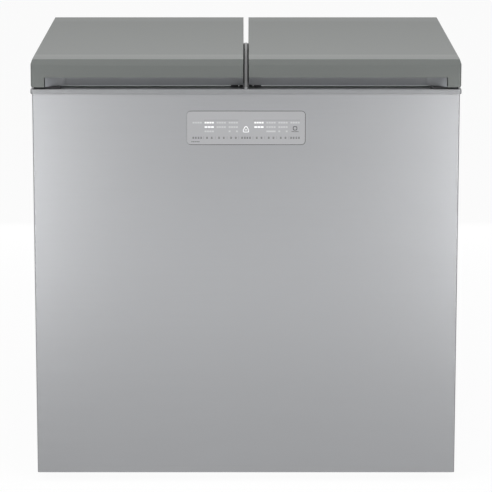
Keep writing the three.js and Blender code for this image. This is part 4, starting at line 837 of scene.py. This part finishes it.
def swept(bm, path, section):
    """A closed solid: section (across, up) along an open path of (x, y, z) points in a level plane."""
    rings = []
    for i, here in enumerate(path):
        before = path[max(i - 1, 0)]
        after = path[min(i + 1, len(path) - 1)]
        along = (Vector(after) - Vector(before)).normalized()
        across = Vector((along.y, -along.x, 0))
        points = [Vector(here) + across * u + Vector((0, 0, v)) for u, v in section]
        rings.append([bm.verts.new(point * MM) for point in points])
    bm.faces.new(rings[0])
    bm.faces.new(rings[-1])
    for first, second in zip(rings, rings[1:]):
        bridge(bm, first, second)


def gasket_path(low, high, pad, side):
    """Round the lid's edge from one side of the rest pad to the other, in the gasket's middle."""
    near, far = low.x + GASKET_HALF, high.x - GASKET_HALF
    if side < 0:
        near, far = high.x - GASKET_HALF, low.x + GASKET_HALF
    front, rear = low.y + GASKET_HALF, high.y - GASKET_HALF
    r = GASKET_CORNER_R
    away = PAD_R + PAD_GAP
    points = [(near, pad.y + math.sqrt(away**2 - (near - pad.x)**2) + PAD_SKEW)]
    turns = ((near, rear, side, 180, 90), (far, rear, -side, 90, 0), (far, front, -side, 0, -90))
    for x, y, inward, start, end in turns:
        centre = (x + inward * r, y - r if y == rear else y + r)
        for i in range(GASKET_CORNER_STEPS + 1):
            angle = math.radians(start + (end - start) * i / GASKET_CORNER_STEPS)
            points.append((centre[0] + side * r * math.cos(angle), centre[1] + r * math.sin(angle)))
    points.append((pad.x + side * (math.sqrt(away**2 - (front - pad.y)**2) + PAD_SKEW), front))
    return [(x, y, low.z) for x, y in points]


def pad_profile(rise):
    """Half section of a rest pad that is rise high: a rim below, round a shallow hollow."""
    return [
        (0, rise), (PAD_R - 0.5, rise), (PAD_R, rise - 0.5), (PAD_R, 1.0), (PAD_R - 0.4, 0.3),
        (PAD_R - 1.2, 0), (PAD_R - 4.2, 0), (PAD_R - 4.8, 0.5), (0, 0.5),
    ]


def dress_lid(label, side):
    low, high = corners(f"lid_gasket_{label}")
    pad_low, pad_high = corners(f"lid_pad_{label}")
    pad = (pad_low + pad_high) / 2
    path = gasket_path(low, high, pad, side)
    gasket = piece(f"door_gasket_{label}", f"{label}_lid", GASKET_RUBBER,
                   lambda bm: swept(bm, path, GASKET_SECTION))
    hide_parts(f"lid_gasket_{label}")
    profile = pad_profile(pad_high.z - pad_low.z)
    place = Matrix.Translation(Vector((pad.x, pad.y, pad_low.z)) * MM)
    rest = piece(f"rest_pad_{label}", f"{label}_lid", RUBBER,
                 lambda bm: placed(bm, lambda part: lathe(part, profile, PAD_SIDES), place))
    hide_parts(f"lid_pad_{label}")


RECESS_DEPTH = 33
RECESS_HEIGHT = 21
GRIP_CLEAR = 0.4  # grip to the recess's wall and top
GRIP_FROM_SIDE = 31  # lid's outer side to the grip's end
GRIP_RAMP = 45  # length of the curved end that comes forward
GRIP_RAMP_POWER = 1.35
GRIP_RAMP_STEPS = 10
GRIP_FRONT = 0.6  # lid's front face to the grip's end
# black block under the lid's outer front corner: painted shadow of the gap there
CORNER_SHADE_X = (396, 455.5)
CORNER_SHADE_Y = (6.5, 14)  # behind the lid's front face
CORNER_SHADE_CLEAR = 0.35  # block's foot to the deck
CORNER_SHADE_SEAT = 0.05  # block's top to the lid
CORNER_SHADE_R = 3


def dress_recess(label, side):
    """The pale lining of a lid's finger recess, paler than the lid to paint in light bounced into the recess, and
    the black block under its outer front corner, a painted shadow of the gap.
    """
    low, high = corners(f"lid_cover_{label}")
    outer = max(abs(low.x), abs(high.x))
    inner = min(abs(low.x), abs(high.x))
    end = outer - GRIP_FROM_SIDE
    front = low.y + GRIP_FRONT
    wall = low.y + RECESS_DEPTH - GRIP_CLEAR
    plan = [(inner + GRIP_CLEAR, wall)]
    for i in range(GRIP_RAMP_STEPS, -1, -1):
        t = i / GRIP_RAMP_STEPS
        plan.append((end - GRIP_RAMP * t, front + (wall - front) * (1 - (1 - t) ** GRIP_RAMP_POWER)))
    plan += [(end, wall + 2 * GRIP_CLEAR), (inner + GRIP_CLEAR, wall + 2 * GRIP_CLEAR)]
    outline = [(side * x, y) for x, y in plan]
    # pale lining: painted bounce light in the recess
    piece(f"grip_{label}", f"{label}_lid", GRIP_PAINTED_BOUNCE, lambda bm: stack(
        bm, "z", [(low.z + GRIP_CLEAR, outline), (low.z + RECESS_HEIGHT - GRIP_CLEAR, outline)],
    ))
    x0, x1 = sorted(side * x for x in CORNER_SHADE_X)
    y0, y1 = (low.y + y for y in CORNER_SHADE_Y)
    deck = corners("top_frame")[1].z - RIB_RISE
    block = rounded(x0, y0, x1, y1, CORNER_SHADE_R, 3)
    crown = rounded(x0 + CROWN, y0 + CROWN, x1 - CROWN, y1 - CROWN, CORNER_SHADE_R - CROWN, 3)
    foot = deck + CORNER_SHADE_CLEAR
    # painted shadow of the gap under the lid's corner
    piece(f"corner_shade_block_{label}", f"{label}_lid", RUBBER, lambda bm: stack(
        bm, "z", [(foot, crown), (foot + CROWN, block), (low.z - CORNER_SHADE_SEAT, block)],
    ))


for lid_label, lid_side in (("left", -1), ("right", 1)):
    dress_lid(lid_label, lid_side)
    dress_recess(lid_label, lid_side)

# ---- screws ------------------------------------------------------------------------------

SCREW_R = 3.6
SCREW_SIDES = 20
CROSS_LONG = 2.0
CROSS_SHORT = 0.5
CROSS_DEEP = 0.9
CROSS_TAPER = 0.8  # size of the recess's floor, as a share of its mouth
SCREW_TURN = 23  # degrees from each screw's recess to the next one's
SCREW_PROFILE = ((1.0, 0.0), (1.0, 0.25), (0.93, 0.75), (0.8, 1.15), (0.68, 1.35))  # share of R, height


def screw(bm):
    """A dome head with a cross recess, standing on z = 0."""
    rings = [
        loop(bm, circle(share * SCREW_R, SCREW_SIDES), "z", height) for share, height in SCREW_PROFILE
    ]
    bm.faces.new(rings[0])
    for first, second in zip(rings, rings[1:]):
        bridge(bm, first, second)
    top = SCREW_PROFILE[-1][1]
    a, b = CROSS_LONG, CROSS_SHORT
    cross = [
        (a, -b), (a, b), (b, b), (b, a), (-b, a), (-b, b),
        (-a, b), (-a, -b), (-b, -b), (-b, -a), (b, -a), (b, -b),
    ]
    mouth = loop(bm, cross, "z", top)
    narrowed = [(u * CROSS_TAPER, v * CROSS_TAPER) for u, v in cross]
    floor = loop(bm, narrowed, "z", top - CROSS_DEEP)
    bridge(bm, mouth, floor)
    bm.faces.new(floor)
    rim = [bm.edges.get((rings[-1][i], rings[-1][(i + 1) % SCREW_SIDES])) for i in range(SCREW_SIDES)]
    rim += [bm.edges.get((mouth[i], mouth[(i + 1) % len(mouth)])) for i in range(len(mouth))]
    bmesh.ops.triangle_fill(bm, use_beauty=True, edges=rim)


def rear_screws(name, body, places, y):
    """Screws that face the rear, at (x, z) places on a face at y."""
    upright = Matrix.Rotation(math.radians(-90), 4, "X")

    def build(bm):
        for i, (x, z) in enumerate(places):
            turn = Matrix.Rotation(math.radians(SCREW_TURN * i), 4, "Z")
            move = Matrix.Translation(Vector((x, y, z)) * MM)
            placed(bm, screw, move @ upright @ turn)

    piece(name, body, ZINC, build)


AXIS_Y, AXIS_Z = (value / MM for value in frame["joints"][0]["pos_m"][1:])
BRACKET_TO_AXIS = 7.7  # bracket plate's rear face, ahead of the hinge axis
ARM_TO_AXIS = 13.7  # arm plate's rear face, ahead of the hinge axis
HINGES = ("left_outer", "left_inner", "right_inner", "right_outer")
BRACKET_SCREWS = ((-15, 15), (12, 42))  # across from the plate's middle, up from its lower edge
ARM_SCREWS = ((-11, 11), (-10, 23))  # across from the plate's middle, up from the axis


def grid(offsets, x, z):
    """Places at each pair of offsets (across, up) from x, z."""
    return [(x + dx, z + dz) for dx in offsets[0] for dz in offsets[1]]


def dress_hinges():
    for label in HINGES:
        low, high = corners(f"hinge_bracket_{label}")
        x = (low.x + high.x) / 2
        rear_screws(f"bracket_screws_{label}", "cabinet",
                    grid(BRACKET_SCREWS, x, low.z), AXIS_Y - BRACKET_TO_AXIS)
        side = label.split("_")[0]
        rear_screws(f"arm_screws_{label}", f"{side}_lid",
                    grid(ARM_SCREWS, x, AXIS_Z), AXIS_Y - ARM_TO_AXIS)


dress_hinges()

# ---- rear sheets -------------------------------------------------------------------------

BEADS_X = (-250, 0, 250)
BEADS_DROP = 20  # beads' middle, below the panel's middle
BEAD_LENGTH = 340
BEAD_HALF = 13
BEAD_LEVELS = ((0.0, 0.0), (1.5, 0.8), (4.0, 1.4), (7.5, 1.6))  # drawn in, and proud
BEAD_ROUND = 0.999  # radius of a bead's end, as a share of its half width
PANEL_SCREWS_INSET = 10  # from the panel's side edges
PANEL_SCREWS_RISE = (15, 140, 265, 390)  # from the panel's lower edge
COVER_SCREWS_SHARE = (-1, -0.5, 0, 0.5, 1)  # of the way out to the panel's screws
COVER_SCREWS_INSET = 10  # from the cover's lower and upper edges
HOOD_RISE = 4.0  # hood, above the louvre's slot
HOOD_PROUD = 4.2
HOOD_LIP = 1.0  # hood's lower edge, above the slot's lower edge
HOOD_END = 7.0
HOOD_OVER = 3  # hood past the slot, at each end
HOOD_THICK = 0.7
HOOD_SEAT = 0.1  # hood's root, off the cover's face
HOOD_SECTION = ((0.0, 0.0), (0.45, 0.9), (0.8, 2.6), (1.0, 5.2))  # share of proud, drop from its top
HOOD_RUN_IN = ((0.0, 0.0), (0.4, 0.62), (1.0, 1.0))  # share of the end's length, share of proud
LOUVRE_WIDTH = 90
LOUVRE_HEIGHT = 6
LOUVRE_PITCH = (115, 20)
LOUVRE_COUNT = (7, 6)
LOUVRE_BOTTOM = 60


def bead(bm, x, z, y):
    levels = []
    for inset, proud in BEAD_LEVELS:
        half = BEAD_HALF - inset
        reach = BEAD_LENGTH / 2 - inset
        outline = rounded(x - half, z - reach, x + half, z + reach, half * BEAD_ROUND, 8)
        levels.append((y + proud, outline))
    stack(bm, "y", levels)


def hood(bm, x, z, y):
    """A pressed hood over one slot whose lower edge is at z, open below and closed at its ends."""
    half = LOUVRE_WIDTH / 2 + HOOD_OVER
    stations = [(-half + HOOD_END * run, share) for run, share in HOOD_RUN_IN]
    stations += [(-u, share) for u, share in reversed(stations)]
    top = z + LOUVRE_HEIGHT + HOOD_RISE
    section = [(out, top - drop) for out, drop in HOOD_SECTION] + [(1.0, z + HOOD_LIP)]
    rings = []
    for u, share in stations:
        outside = [(y + HOOD_SEAT + HOOD_PROUD * share * out, height) for out, height in section]
        inside = [(out - HOOD_THICK, height) for out, height in reversed(outside)]
        section_points = [Vector((x + u, out, height)) for out, height in outside + inside]
        rings.append([bm.verts.new(point * MM) for point in section_points])
    bm.faces.new(rings[0])
    bm.faces.new(rings[-1])
    for first, second in zip(rings, rings[1:]):
        bridge(bm, first, second)


def dress_rear():
    low, high = corners("back_panel")
    middle = (low.z + high.z) / 2 - BEADS_DROP
    piece("back_beads", "cabinet", STEEL_PAINTED,
          lambda bm: [bead(bm, x, middle, high.y) for x in BEADS_X])
    edge = high.x - PANEL_SCREWS_INSET
    rear_screws("back_panel_screws", "cabinet",
                grid(((-edge, edge), PANEL_SCREWS_RISE), 0, low.z), high.y)
    cover_low, cover_high = corners("machine_cover")
    columns = [edge * share for share in COVER_SCREWS_SHARE]
    rows = (cover_low.z + COVER_SCREWS_INSET, cover_high.z - COVER_SCREWS_INSET)
    rear_screws("machine_cover_screws", "cabinet", grid((columns, rows), 0, 0), cover_high.y)

    def hoods(bm):
        for row in range(LOUVRE_COUNT[1]):
            for column in range(LOUVRE_COUNT[0]):
                x = (column - (LOUVRE_COUNT[0] - 1) / 2) * LOUVRE_PITCH[0]
                hood(bm, x, cover_low.z + LOUVRE_BOTTOM + row * LOUVRE_PITCH[1], cover_high.y)

    piece("louvre_hoods", "cabinet", GALVANISED, hoods)


dress_rear()
